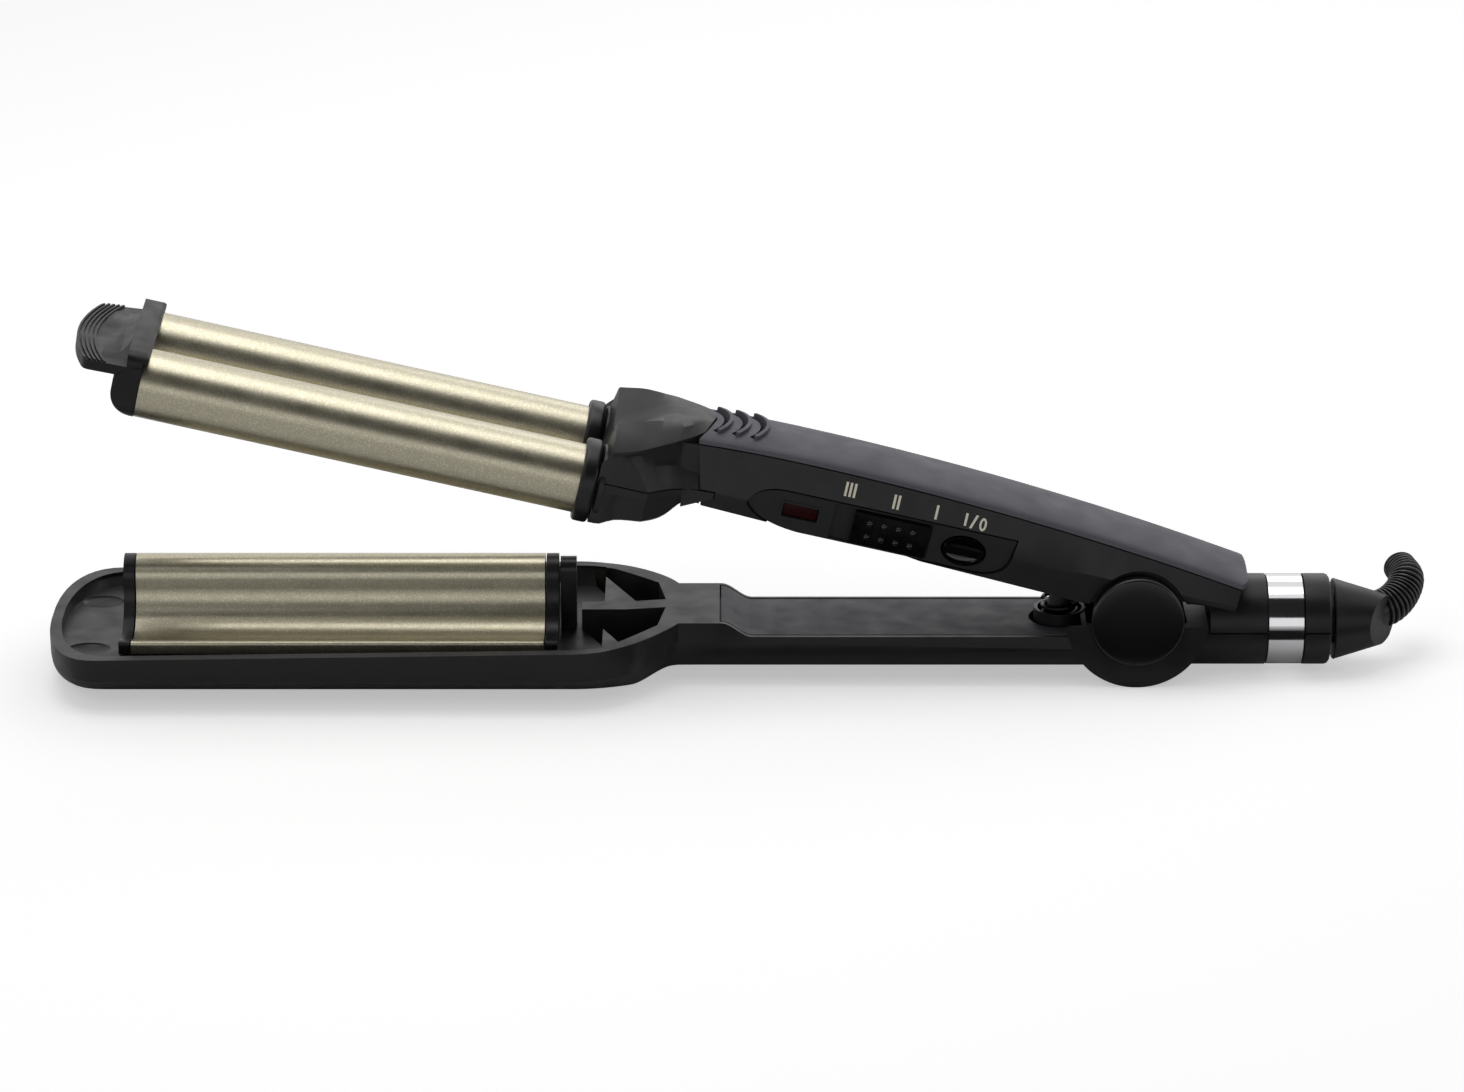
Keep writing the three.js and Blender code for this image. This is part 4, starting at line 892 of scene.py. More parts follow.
@dataclass
class TipCap(Assembly):
    """Bar over both barrel ends with a ribbed finger rest."""

    front: float = 236.4
    lip: float = 235.2
    lip_rise: float = 11.9
    back: float = 242.4
    bar_top: float = 13.9
    fan_top: float = 9.5
    fan_bottom: float = 7.2
    fan_tip: float = 253.3
    fan_corner: float = 20.6
    fan_arc: float = 60.0
    fan_spread: float = 0.39
    fan_tilt: float = math.radians(4)
    crown: float = 44.0
    ridges: int = 5
    ridge_pitch: float = 1.0
    ridge_width: float = 0.5

    def build(self) -> None:
        """Builds the cap."""
        self.shop.shaped(self.bar().join(self.rest()), "tip_cap", HEAT_CAP, Body.UPPER, 28.0)

    def band(self, start: float, end: float) -> Outline:
        """Band of the fan between two distances behind its bowed front edge."""
        centre = (-self.fan_tip + self.fan_arc, 0.0)
        first, last = math.pi - self.fan_spread, math.pi + self.fan_spread
        band = Outline().arc(centre, self.fan_arc - start, first, last, 40)
        return band.arc(centre, self.fan_arc - end, last, first, 40)

    def plan(self) -> Outline:
        """Fan in plan: straight side edges, rounded corners and a bowed front edge."""
        tip, corner = -self.fan_tip, self.fan_corner
        edge = tip + self.fan_arc * (1 - math.cos(math.asin(corner / self.fan_arc)))
        root = self.size.barrel_axis + self.size.barrel_radius + self.size.gap
        side = Outline([(-self.front, root), (edge + 1.6, corner + 0.1)])
        side.curve((edge, corner), (edge - 0.5, corner - 1.5))
        side.line((tip - 1, corner - 3), (tip - 1, 3 - corner), (edge - 0.5, 1.5 - corner))
        side.curve((edge, -corner), (edge + 1.6, -corner - 0.1))
        return side.line((-self.front, -root))

    def rest(self) -> Solid:
        """Finger rest: five ridges along the front edge and a bowl that rises to the bar."""
        front, back, top, low = -self.front, -self.back, self.fan_top, self.fan_bottom
        plan = Solid.pulled("Z", self.plan(), -10, 30)
        slab = Solid.pulled("Z", self.band(0, 18), low, top).within(plan)
        starts = [number * self.ridge_pitch for number in range(self.ridges)]
        ridges = [Solid.pulled("Z", self.band(at, at + self.ridge_width), low + 0.5, top + 0.45).within(plan)
                  for at in starts]
        slope_top = self.bar_top - 1.1
        rise = Outline([(front - 1, low), (front - 1, slope_top), (back + 2.7, slope_top)])
        rise.curve((back + 1.4, top + 1), (back - 1.2, top + 0.6), 12)
        rise.curve((back - 3, top + 0.3), (back - 5.2, top + 0.2), 12).line((back - 5.2, low))
        bowl = Solid.ball((back - 5.6, 0, top + 5.8), (8.4, 17.5, 6.1), 96)
        ridge_space = Solid.pulled("Z", self.band(-2, 4.6), top, 30)
        crown = Solid.rod("X", self.crown, back - 8, front + 2, (0, self.bar_top - 0.9 - self.crown), 256)
        slope = Solid.pulled("Y", rise, -self.fan_corner, self.fan_corner)
        slope = slope.within(plan, crown).cut(ridge_space)
        strip = Solid.pulled("Z", self.plan(), low, top).within(Solid.block(back - 4, front, -30, 30, 0, 30))
        flat = slab.join(slope, strip).cut(bowl).join(*ridges)
        pivot = Matrix.Translation((-self.fan_tip, 0, top))
        return flat.moved(pivot @ Matrix.Rotation(-self.fan_tilt, 4, "Y") @ pivot.inverted())

    def bar(self) -> Solid:
        """Bar across the barrel ends."""
        size, front, lip, back, top = self.size, -self.front, -self.lip, -self.back, self.bar_top
        low = size.barrel_rise - size.barrel_radius
        half = size.barrel_axis + size.barrel_radius
        side = Outline([(front, low), (front, self.lip_rise), (lip, self.lip_rise), (lip, top - 0.8),
                        (lip - 0.8, top), (back + 2.2, top),
                        (back + 2.6, self.fan_top), (back, self.fan_bottom + 0.4)])
        side.arc((back + 7.6, 4.6), 7.6, math.pi, 1.42 * math.pi, 20)
        end = Outline.rectangle(-half, half, low, top + 10, size.barrel_radius - 0.5, 12)
        upper = Outline.rectangle(-half, half, low - 10, top, 3, 8)
        return Solid.pulled("Y", side, -30, 30).within(
            *(Solid.pulled("X", outline, back - 20, front + 10) for outline in (end, upper)))


@dataclass
class Handle(Assembly):
    """Side walls, cover and louvres of the upper handle."""

    cover_edge: float = 1.3
    louvre_bow: float = 13.0
    louvre_half_angle: float = 0.68
    louvre_starts: tuple[float, ...] = (4.5, 8.8, 13.1)
    louvre_rise: float = 1.05
    floor: float = 2.2
    cavity_half: float = 9.3
    rear_cavity_half: float = 10.35
    lug_inner: float = 8.0
    lug_outer: float = 10.5
    lug_radius: float = 7.0
    boss_radius: float = 4.7
    pin_radius: float = 2.6

    def build(self) -> None:
        """Builds the shell and its cover."""
        self.shop.shaped(self.shell(), "upper_handle_shell", SHELL, Body.UPPER)
        self.shop.shaped(self.cover(), "upper_handle_cover", COVER, Body.UPPER)

    def stations(self) -> list[float]:
        """Stations from the neck to the rear."""
        return steps(self.size.joint + 5, self.size.handle_rear, 48)

    def cover_form(self, raised: float) -> Solid:
        """Crowned strip over the handle, raised for the louvres."""
        half, crease = self.size.crease_half, self.size.crease
        crown = [(0, 1.5), (2.2, 1.47), (4.4, 1.32), (6.4, 1.08), (8.4, 0.72), (10, 0.32),
                 (half - 0.3, -0.08), (half, -0.4), (half + 0.15, -self.cover_edge)]
        rails = [lambda r, y=y, z=z: (y, crease(r) + z + (raised if z > -0.2 else 0)) for y, z in crown]
        return Solid.loft(self.stations(), rails + [lambda r: (0, crease(r) - self.cover_edge)])

    def cover(self) -> Solid:
        """Cover with three bowed louvres."""
        size, bow, spread = self.size, self.louvre_bow, self.louvre_half_angle
        slots, hoods = [], []
        for start in self.louvre_starts:
            centre = (start - size.joint - bow, 0.0)
            for kept, low, high in ((slots, -1.7, -0.5), (hoods, -0.5, 0.35)):
                strip = Outline().arc(centre, bow + high, -spread, spread, 24)
                kept.append(Solid.pulled("Z", strip.arc(centre, bow + low, spread, -spread, 24), 5, 40))
        raised, half = self.cover_form(self.louvre_rise), size.crease_half + 1
        plan = Outline.rectangle(-size.joint - 9, -size.handle_rear, -half, half, 4, 12)
        form = self.cover_form(0).cut(*slots).join(*(hood.within(raised) for hood in hoods))
        leaf = Solid.pulled("Z", size.leaf(size.gap), 0, 40)
        return form.within(Solid.pulled("Z", plan, 0, 40)).cut(size.beyond_joint(-0.175), leaf)

    def shell(self) -> Solid:
        """Side walls, floor, hinge lugs and the boss that presses the spring."""
        size = self.size
        crease, under, below = size.crease, size.underside, self.cover_edge + size.seam
        body = Solid.loft(self.stations(), [
            lambda r: (0, crease(r) - below), lambda r: (size.crease_half + 0.25, crease(r) - below),
            lambda r: (size.flare_half, size.flare_rise),
            lambda r: (size.flare_half - 0.35, size.flare_rise - 1.2),
            lambda r: (12, under(r)), lambda r: (0, under(r))])
        cavity = Solid.loft(steps(size.joint + 7, 14, 12), [
            lambda r: (0, 40), lambda r: (self.cavity_half, 40),
            lambda r: (self.cavity_half, under(r) + self.floor), lambda r: (0, under(r) + self.floor)])
        over_hinge = Solid.block(-14.2, 9.2, -self.lug_inner, self.lug_inner, -20, 40)
        over_rear = Solid.block(9, 40, -self.rear_cavity_half, self.rear_cavity_half, -20, 40)
        behind = Solid.block(0, 20, -30, 30, -30, 30).moved(
            Matrix.Translation((-size.handle_rear - 1.6, 0, 8)) @ Matrix.Rotation(0.1, 4, "Y"))
        tools = [cavity, over_hinge, over_rear, behind, size.beyond_joint(-0.175)]
        lugs = []
        for side in (-1, 1):
            notch = sorted((side * (self.lug_outer + 0.1), side * 30))
            lug = sorted((side * self.lug_inner, side * self.lug_outer))
            tools += [Solid.rod("Y", size.knuckle_notch, *notch, facets=96), size.tongue(side, size.gap)]
            lugs.append(Solid.rod("Y", self.lug_radius, *lug))
        tools += [Controls.placed(Controls.panel(size.gap), -1.8, 6),
                  Controls.placed(Controls.oval(size.gap), -6, 0)]
        boss, pin = (Solid.rod("Z", radius, low, high, (-size.post_reach, 0)) for radius, low, high in
                     ((self.boss_radius, -1.5, 3.2), (self.pin_radius, -5.6, 0)))
        return body.cut(*tools).join(boss.join(pin), *lugs).cut(Solid.rod("Y", size.axle_bore, -20, 20))


@dataclass
class Barrels(Assembly):
    """Coated tubes with their collars and seals."""

    wall: float = 1.1
    collar_front: float = 133.9
    collar_back: float = 130.1
    collar_radius: float = 9.7
    collar_edge: float = 0.9
    seal_radius: float = 9.0

    def build(self) -> None:
        """Builds both sides."""
        rings = (("barrel", self.tube(), 160, CHAMPAGNE), ("barrel_collar", self.collar(), 128, HEAT),
                 ("barrel_seal", self.seal(), 128, HEAT))
        for place, side in (("near", -1), ("far", 1)):
            at = (side * self.size.barrel_axis, self.size.barrel_rise)
            for name, section, facets, finish in rings:
                ring = Solid.lathed("X", section, at, facets)
                self.shop.shaped(ring, f"{name}_{place}", finish, Body.UPPER)
            self.shop.dress(f"barrel_heater_{place}", CERAMIC)

    def tube(self) -> list[Pair]:
        """Half section of a tube."""
        radius, front, rear = self.size.barrel_radius, -self.size.barrel_tip, -self.collar_back - 1
        return [(front, radius - self.wall), (front, radius - 0.15), (front + 0.15, radius), (rear, radius),
                (rear, radius - self.wall), (front, radius - self.wall)]

    def collar(self) -> list[Pair]:
        """Half section of a collar, rounded on both edges."""
        front, rear, edge = -self.collar_front, -self.collar_back, self.collar_edge
        inner, bore = self.size.barrel_pin, self.size.barrel_radius + self.size.gap
        rim = self.collar_radius - edge
        drawn = Outline([(front, bore)]).arc((front + edge, rim), edge, math.pi, math.pi / 2, 6)
        drawn.arc((rear - edge, rim), edge, math.pi / 2, 0, 6)
        return drawn.line((rear, inner), (rear - 0.6, inner), (rear - 0.6, bore), (front, bore)).points

    def seal(self) -> list[Pair]:
        """Half section of the ring between a collar and the neck."""
        front, rear, inner = -self.collar_back + 0.3, -self.size.neck_front - 0.3, self.size.barrel_pin
        radius = self.seal_radius
        return [(front, inner), (front, radius - 0.4), (front + 0.4, radius), (rear, radius), (rear, inner),
                (front, inner)]


@dataclass
class Controls(Assembly):
    """Side panel with its slider, lens, button and scale marks."""

    slider_reach: float = 52.1
    slider_length: float = 17.8
    slider_height: float = 8.0
    slider_rise: float = 0.95
    track_gap: float = 0.45
    track_length: float = 4.8
    button_reach: float = 43.4
    lens_reach: float = 82.3
    mark_height: float = 3.3
    mark_width: float = 0.57
    mark_pitch: float = 1.02

    @staticmethod
    def placed(outline: Outline, low: float, high: float) -> Solid:
        """Pulls an outline out from the panel's plane and puts it on the arm."""
        return Controls.on_panel(Solid.pulled("Z", outline, low, high))

    @staticmethod
    def on_panel(solid: Solid) -> Solid:
        """Moves a solid from the panel's frame to the arm's."""
        tilt = math.pi / 2 + math.radians(6.5)
        return solid.moved(Matrix.Translation((0, -12.25, 7.4)) @ Matrix.Rotation(tilt, 4, "X"))

    @staticmethod
    def panel(grow: float) -> Outline:
        """Outline of the panel: a long lens with a pointed nose and a rounded heel."""
        half, nose, heel = 4.8 + grow, -94.8 - grow, -31.9 + grow
        outline = Outline([(nose + 9, half)]).curve((nose + 2, half), (nose, 0.5), 12)
        outline.curve((nose + 3, -half + 0.6), (nose + 13, -half), 12).line((heel - 8, -half))
        return outline.curve((heel - 1.5, -half + 0.4), (heel - 0.6, 0), 12).line((heel, half))

    @staticmethod
    def oval(grow: float) -> Outline:
        """Outline of the button."""
        return Outline().arc((-Controls.button_reach, -0.3), (4.95 + grow, 3.5 + grow), 0, 2 * math.pi, 64)

    def lens_box(self, grow: float) -> Outline:
        """Outline of the lens."""
        middle, height, half, rise = -self.lens_reach, 0.3, 3.95 + grow, 1.45 + grow
        return Outline.rectangle(middle - half, middle + half, height - rise, height + rise, 0.5)

    def build(self) -> None:
        """Builds the controls."""
        half, end, gap = self.slider_height / 2, -self.slider_reach, self.track_gap
        start, wide = end - self.slider_length, half + gap
        track = Outline.rectangle(start - self.track_length, end + gap, -wide, wide, 0.4)
        lens_hole = Solid.pulled("Z", self.lens_box(0.3), -5, 3)
        plate = Solid.pulled("Z", self.panel(0), -1.5, 0).cut(
            Solid.pulled("Z", track, -0.8, 3), lens_hole, Solid.pulled("Z", self.oval(self.size.gap), -5, 3))
        frame = Solid.pulled("Z", self.lens_box(0.8), -0.4, 0.2).cut(lens_hole)
        for solid, node, finish, body in (
                (plate.join(frame), "control_panel", SHELL, Body.UPPER),
                (Solid.pulled("Z", self.lens_box(0), -1.5, -0.35), "pilot_lens", LENS, Body.UPPER),
                (self.slider(start, end, half), "temperature_slider", SLIDER, Body.SLIDER),
                (self.button(), "power_button", SLIDER, Body.BUTTON)):
            self.shop.shaped(self.on_panel(solid), node, finish, body)
        self.marks()

    def slider(self, start: float, end: float, half: float) -> Solid:
        """Slider with two rows of grip domes."""
        plate = Solid.pulled("Z", Outline.rectangle(start, end, -half, half, 0.4), -0.45, self.slider_rise)
        return plate.join(*(Solid.ball(((start + end) / 2 + x, y, self.slider_rise), (0.8, 0.8, 0.7), 24)
                            for x in steps(-5.1, 5.1, 3) for y in (-1.7, 1.7)))

    def button(self) -> Solid:
        """Dished oval with a raised bar across it."""
        middle, half = -self.button_reach, 4.65
        dish = Solid.ball((middle, -0.3, 0.25), (4.55, 3.1, 1.0), 64)
        bar = Outline.rectangle(middle - half, middle + half, -1.2, 0.6, 0.5)
        body = Solid.pulled("Z", self.oval(0), -3.2, 0.25).cut(dish)
        return body.join(Solid.pulled("Z", bar, -2, 1).within(Solid.pulled("Z", self.oval(-0.1), -3, 3)))

    def marks(self) -> None:
        """Scale marks on the side wall: three bars, two, one, and a bar, slash and ring."""
        strokes = [(reach + (i - (count - 1) / 2) * self.mark_pitch, rise, 0.0, self.mark_height)
                   for reach, rise, count in ((72.2, 15.7, 3), (61.2, 15.2, 2), (51.6, 14.9, 1))
                   for i in range(count)]
        strokes += [(44.6, 14.75, 0.0, 2.9), (42.7, 14.6, 0.55, 3.2)]
        for number, (reach, rise, slant, height) in enumerate(strokes, 1):
            half, tall = self.mark_width / 2, height / 2
            bar = Outline([(-half - slant, -tall), (half - slant, -tall),
                           (half + slant, tall), (-half + slant, tall)])
            self.mark(f"scale_mark_{number}", -reach, rise, Solid.pulled("Z", bar, -0.15, 0.05))
        ring, hole = (Outline().arc((0, 0), radii, 0, 2 * math.pi, 32)
                      for radii in ((0.85, 1.5), (0.36, 1.0)))
        pad = Solid.pulled("Z", ring, -0.15, 0.05).cut(Solid.pulled("Z", hole, -1, 1))
        self.mark("scale_mark_ring", -40.5, 14.4, pad)

    def mark(self, name: str, x: float, rise: float, pad: Solid) -> None:
        """Prints one mark as a thin pad that follows the wall."""
        for vert in pad.mesh.vertices:
            across, up, out = vert.co
            height = rise + up
            vert.co = (x + across, -self.size.wall(height) - out, height)
        self.shop.placed(pad, name, INK, Body.UPPER)


@dataclass
class Tray(Assembly):
    """Tray, neck, grip and hinge bulge in one moulding, with the grip's cover."""

    tip: float = 253.2
    half: float = 31.0
    tip_round: float = 13.5
    rim: float = 2.8
    floor: float = 10.3
    shoulder: float = 131.2
    platform: float = 109.0
    platform_height: float = 15.8
    grip_half: float = 13.4
    grip_bulge: float = 0.5
    grip_height: float = 12.4
    grip_bottom: float = 4.8
    bulge_half: float = 13.9
    bulge_top: float = 14.9
    knuckle_radius: float = 10.4
    bar_half: float = 2.6
    pocket_floor: float = 7.6
    seat_radius: float = 6.45
    seat_floor: float = 6.75
    screw_radius: float = 2.85
    screw_depth: float = 7.05
    screw_reaches: Pair = (81.0, 41.0)
    tip_shares: tuple[float, ...] = (0.998, 0.99, 0.97, 0.94, 0.9, 0.84, 0.78, 0.7, 0.6, 0.48, 0.35, 0.18, 0)

    def build(self) -> None:
        """Builds the shell, the cover and what shows between them."""
        shop = self.shop
        # The lower arm's shell takes the darker ABS, whose colour is painted shade.
        shop.shaped(self.shell(), "lower_shell", SHELL_PAINTED_SHADE, Body.LOWER)
        # The lower cover's darker lacquer is painted shade.
        shop.shaped(self.cover(), "lower_handle_cover", COVER_PAINTED_SHADE, Body.LOWER)
        for place, side in (("near", -1), ("far", 1)):
            shop.shaped(self.cap(side), f"hinge_cap_{place}", GLOSS, Body.LOWER)
        shop.softened("spring_cup", SHELL_PAINTED_SHADE, Body.LOWER, 0.15)
        # The arm spring's dark steel is painted shade for the inside of its cup.
        for node, finish in (("plate_heater", CERAMIC), ("arm_spring", SPRING_STEEL_PAINTED_SHADE), ("hinge_axle", STEEL),
                             ("swivel_contact_disc", HEAT), ("grip_screw_front", STEEL),
                             ("grip_screw_rear", STEEL)):
            shop.dress(node, finish)

    def width(self, reach: float) -> float:
        """Half width of the tray and neck in plan."""
        start = self.tip - self.tip_round
        if reach > start:
            share = min((reach - start) / self.tip_round, 1)
            return self.half * (1 - share ** 2.4) ** (1 / 2.4)
        if reach >= self.shoulder:
            return self.half
        share = min((self.shoulder - reach) / (self.shoulder - self.platform + 2.4), 1)
        return mix(self.grip_half, self.half, (1 - share ** 2) ** 0.9)

    def top(self, reach: float) -> float:
        """Height of the rim, the platform and the grip's top."""
        start, end = self.platform - 19.6, self.platform - 12.4
        if reach < end:
            return mix(self.grip_height, self.platform_height, ease((reach - start) / (end - start)))
        return along(reach, (self.platform, self.platform_height), (self.platform + 15, 14.9),
                     (self.tip, 13.1))

    def grip_share(self, reach: float) -> float:
        """How far the section has turned from the tray's hull into the grip."""
        return ease((self.platform + 8.6 - reach) / 12)

    def lift(self, reach: float) -> float:
        """How far the tray's bottom has curved up at the tip."""
        return min(max((reach - self.tip + self.tip_round) / self.tip_round, 0), 1) ** 3

    def hull_rail(self, wide: float, grip: float, low: float, tip: float, grip_low: float) -> Rail:
        """Rail of the outer form: tray width share, grip half width, and heights in each part."""
        def place(reach: float) -> Pair:
            """Point of the rail at a reach."""
            share = self.grip_share(reach)
            height = mix(mix(low, tip, self.lift(reach)), grip_low, share)
            return (mix(self.width(reach) * wide, grip, share), height)
        return place

    def stations(self) -> list[float]:
        """Stations round the tip, along the neck and down to the grip."""
        return (self.round_tip(self.tip_shares) + steps(self.shoulder, self.platform - 2.4, 24)
                + steps(self.platform - 8, self.platform - 20, 20) + [8])

    def round_tip(self, shares: Sequence[float]) -> list[float]:
        """Stations at shares of the way along the rounded tip."""
        return [self.tip - self.tip_round * (1 - share) for share in shares]

    def ramp(self) -> list[float]:
        """Stations where the platform falls to the grip's top."""
        return steps(self.platform - 12.6, self.platform - 20, 16)

    def hull(self) -> Solid:
        """Tray, neck and grip as one outer form."""
        grip, low = self.grip_half, self.grip_bottom
        return Solid.loft(self.stations(), [
            lambda r: (0, self.top(r)), lambda r: (self.width(r), self.top(r)),
            self.hull_rail(0.985, grip + self.grip_bulge * 0.5, 10.6, 10.9, 10.9),
            self.hull_rail(0.955, grip + self.grip_bulge, 7.5, 8.6, 9.3),
            self.hull_rail(0.885, grip + 0.2, 5.9, 7.2, 7.2),
            self.hull_rail(0.8, grip - 0.2, 4.4, 6, 5.5),
            self.hull_rail(0.7, grip - 1, 2.8, 5.1, low + 0.3),
            self.hull_rail(0.6, grip - 2, 1.4, 4.4, low + 0.1),
            self.hull_rail(0.42, grip - 4, 0, 4, low),
            lambda r: (0, mix(4 * self.lift(r), low, self.grip_share(r)))])

    def recess(self) -> Solid:
        """Recess that the wave plate sits in."""
        start = self.tip - self.tip_round
        ends = [reach - self.rim + 0.4 for reach in self.round_tip(self.tip_shares[1:-1])] + [start]

        def inner(reach: float) -> float:
            """Half width of the recess."""
            if reach > start:
                return self.width(reach + self.rim - 0.4) - self.rim
            return max(self.width(reach) - self.rim, 0.5)

        return Solid.loft(ends + steps(self.shoulder, 124, 8), [
            lambda r: (0, 30), lambda r: (inner(r), 30), lambda r: (inner(r), self.top(r) - 1),
            lambda r: (inner(r) - 1.8, self.floor), lambda r: (0, self.floor)])

    def pocket_front(self, side: int) -> Pair:
        """Reaches at which a pocket's slanted front meets the wall and the bar."""
        return ((self.shoulder - 4.3, self.shoulder - 14.5) if side > 0
                else (self.shoulder - 10.9, self.shoulder - 2.3))

    def pocket(self, side: int) -> Solid:
        """Pocket between the centre bar and the narrowing wall."""
        wall_end, bar_end = self.pocket_front(side)
        start = self.platform + 2.4
        outline = Outline([(-self.platform - 0.6, side * self.bar_half)])
        for reach in steps(start, wall_end, 16):
            share = min((reach - start) / (self.shoulder - 8.6 - start), 1)
            outline.line((-reach, side * self.width(reach) * mix(0.7, 0.89, share)))
        return Solid.pulled("Z", outline.line((-bar_end, side * self.bar_half)), self.pocket_floor, 30)

    def web(self, side: int) -> Solid:
        """Low web along the front edge of a pocket."""
        wall_end, bar_end = self.pocket_front(side)
        wall, bar = side * self.width(wall_end) * 0.9, side * (self.bar_half - 1)
        web = Outline([(-bar_end, bar), (-wall_end, wall), (-wall_end - 1.2, wall), (-bar_end - 1.2, bar)])
        beside = Solid.block(-self.shoulder - 10, -self.size.neck_front - 0.8, -self.bar_half, self.bar_half,
                             self.floor, 30)
        low, high = self.pocket_floor, self.floor
        return Solid.pulled("Z", web, low - 1, mix(low, high, 0.35)).cut(beside)

    def bulge(self) -> Solid:
        """Bulge round the hinge, with the knuckles that carry the axle."""
        size, half, height = self.size, self.bulge_half, self.size.hinge_height
        bulge = Solid.rod("Y", height, -half, half, (0, height), 160)
        flat = Solid.block(-30, 30, -20, 20, self.bulge_top, 60)
        behind = Solid.block(size.cord_start - size.gap, 30, -20, 20, size.cord_axis, 60)
        knuckle = Solid.rod("Y", self.knuckle_radius, -half, half, (0, height), 128)
        return bulge.cut(flat, behind).join(knuckle)

    def seat(self, drop: float, inset: float, start: float, end: float) -> Solid:
        """Seat for the grip's cover."""
        def half(reach: float) -> float:
            """Half width of the seat."""
            return min(self.width(reach), self.grip_half) - inset
        return Solid.loft([start] + self.ramp() + [end], [
            lambda r: (0, self.top(r) + 10), lambda r: (half(r), self.top(r) + 10),
            lambda r: (half(r), self.top(r) - drop), lambda r: (0, self.top(r) - drop)])

    def shell(self) -> Solid:
        """The whole moulding."""
        size, hinge = self.size, (0, self.size.hinge_height)
        hull = self.hull().join(self.bulge(), self.rear_half())
        outer = self.hull()
        bar = Solid.block(-self.shoulder + 2, -self.platform + 0.6, -self.bar_half, self.bar_half,
                          self.pocket_floor - 1, self.platform_height - 0.6)
        shell = hull.cut(self.recess(), self.pocket(-1), self.pocket(1))
        shell = shell.join(bar, *(self.web(side).within(outer) for side in (-1, 1)))
        dents = [Solid.ball((-self.tip + 10, side * 15.5, self.floor + 0.2), (5, 4, 1.4), 64)
                 for side in (-1, 1)]
        screws = [Solid.rod("Z", self.screw_radius, 0, self.screw_depth, (-reach, 0))
                  for reach in self.screw_reaches]
        notch, half = size.knuckle_notch, size.knuckle_half
        return shell.cut(
            self.seat(1.95, 1, self.platform - 12, 12.8),
            Solid.rod("Z", self.seat_radius, self.seat_floor, 40, (-size.post_reach - size.gap, 0)),
            Solid.rod("Y", notch, -half, half, hinge, 128),
            Solid.block(-notch, 13, -half, half, size.hinge_height, 40),
            Solid.rod("Y", size.axle_bore, -20, 20, hinge), *dents, *screws)

    def rear_half(self) -> Solid:
        """Lower half of the rear cylinder, with the groove for the band."""
        return self.size.cord_cylinder(8).within(Solid.block(0, 80, -20, 20, -5, self.size.cord_axis))

    def cover(self) -> Solid:
        """Soft cover let into the grip's top."""
        size, half = self.size, self.grip_half - 1.35
        plate = Solid.loft([self.platform - 12.35] + self.ramp() + [13.15], [
            lambda r: (0, self.top(r)), lambda r: (half - 0.3, self.top(r)),
            lambda r: (half, self.top(r) - 0.3), lambda r: (half, self.top(r) - 1.6),
            lambda r: (0, self.top(r) - 1.6)])
        return plate.cut(Solid.rod("Z", 7.3, 0, 40, (-size.post_reach - size.gap, 0)),
                         Solid.rod("Y", 12.15, -11.3, 11.3, (0, size.hinge_height), 128))

    def cap(self, side: int) -> Solid:
        """Domed disc over the end of the axle."""
        start, radius = self.bulge_half + 0.35, 10.8
        end = start + 1.3
        profile = [(start, 0), (start, radius), (end - 0.6, radius), (end - 0.35, radius - 0.12),
                   (end - 0.12, radius - 0.4), (end - 0.02, radius - 0.8), (end + 0.08, radius * 0.7),
                   (end + 0.16, radius * 0.4), (end + 0.2, 0)]
        return Solid.lathed("Y", [(side * at, r) for at, r in profile], (0, self.size.hinge_height), 160)


@dataclass
class WavePlate(Assembly):
    """Coated extrusion with one ridge between two channels, and its end pieces."""

    front: float = 233.0
    rear: float = 137.7
    wall: float = 1.4
    lip_half: float = 20.0
    lip_height: float = 13.6
    skirt: float = 10.7
    channel_height: float = 21.4
    ridge_height: float = 23.3
    clearance: float = 1.0
    cap_end: float = 2.9
    ring_end: float = 3.2
    block_front: float = 134.1
    block_gap: float = 2.4
    block_foot: float = 10.65

    def build(self) -> None:
        """Builds the plate and its ends."""
        size, front, rear = self.size, -self.front, -self.rear
        outer, inner = self.line(0), self.line(self.wall)
        loop = Outline(self.mirrored(outer) + outer[1:] + inner[::-1] + self.mirrored(inner)[::-1][1:])
        end = Outline(self.mirrored(outer) + outer[1:])
        half, foot = self.ridge_radius() - 1.8, self.block_foot
        middle = self.ridge_height + self.ridge_radius() - 0.6 - half
        arch = Outline([(-half, foot), (half, foot), (half, middle)]).arc((0, middle), half, 0, math.pi, 32)
        for node, outline, start, stop, finish in (
                ("wave_plate", loop, front, rear, CHAMPAGNE),
                ("plate_front_cap", end, front - self.cap_end, front - size.gap, HEAT),
                ("plate_rear_ring", end, rear + size.gap, rear + self.ring_end, HEAT),
                ("plate_rear_block", arch, -self.block_front, -size.neck_front - self.block_gap, HEAT)):
            self.shop.shaped(Solid.pulled("X", outline, start, stop), node, finish, Body.LOWER)

    def ridge_radius(self) -> float:
        """Radius of the ridge's crown."""
        return self.size.barrel_axis - self.size.barrel_radius - self.clearance

    def line(self, inset: float) -> list[Pair]:
        """Half of the wave's outline from the crown to the foot of the skirt."""
        axis, radius = self.size.barrel_axis, self.size.barrel_radius + self.clearance + inset
        lip, top = self.lip_half - inset, self.lip_height - inset
        drawn = Outline().arc((0, self.ridge_height), self.ridge_radius() - inset, math.pi / 2, 0, 32)
        drawn.arc((axis, self.channel_height), radius, math.pi,
                  2 * math.pi - math.asin((self.channel_height - top) / radius), 48)
        drawn.line((lip - 0.9, top)).curve((lip, top), (lip, top - 0.9), 5).line((lip, self.skirt))
        return drawn.points

    @staticmethod
    def mirrored(points: list[Pair]) -> list[Pair]:
        """Points of the other half, in the opposite order."""
        return [(-y, z) for y, z in reversed(points)]


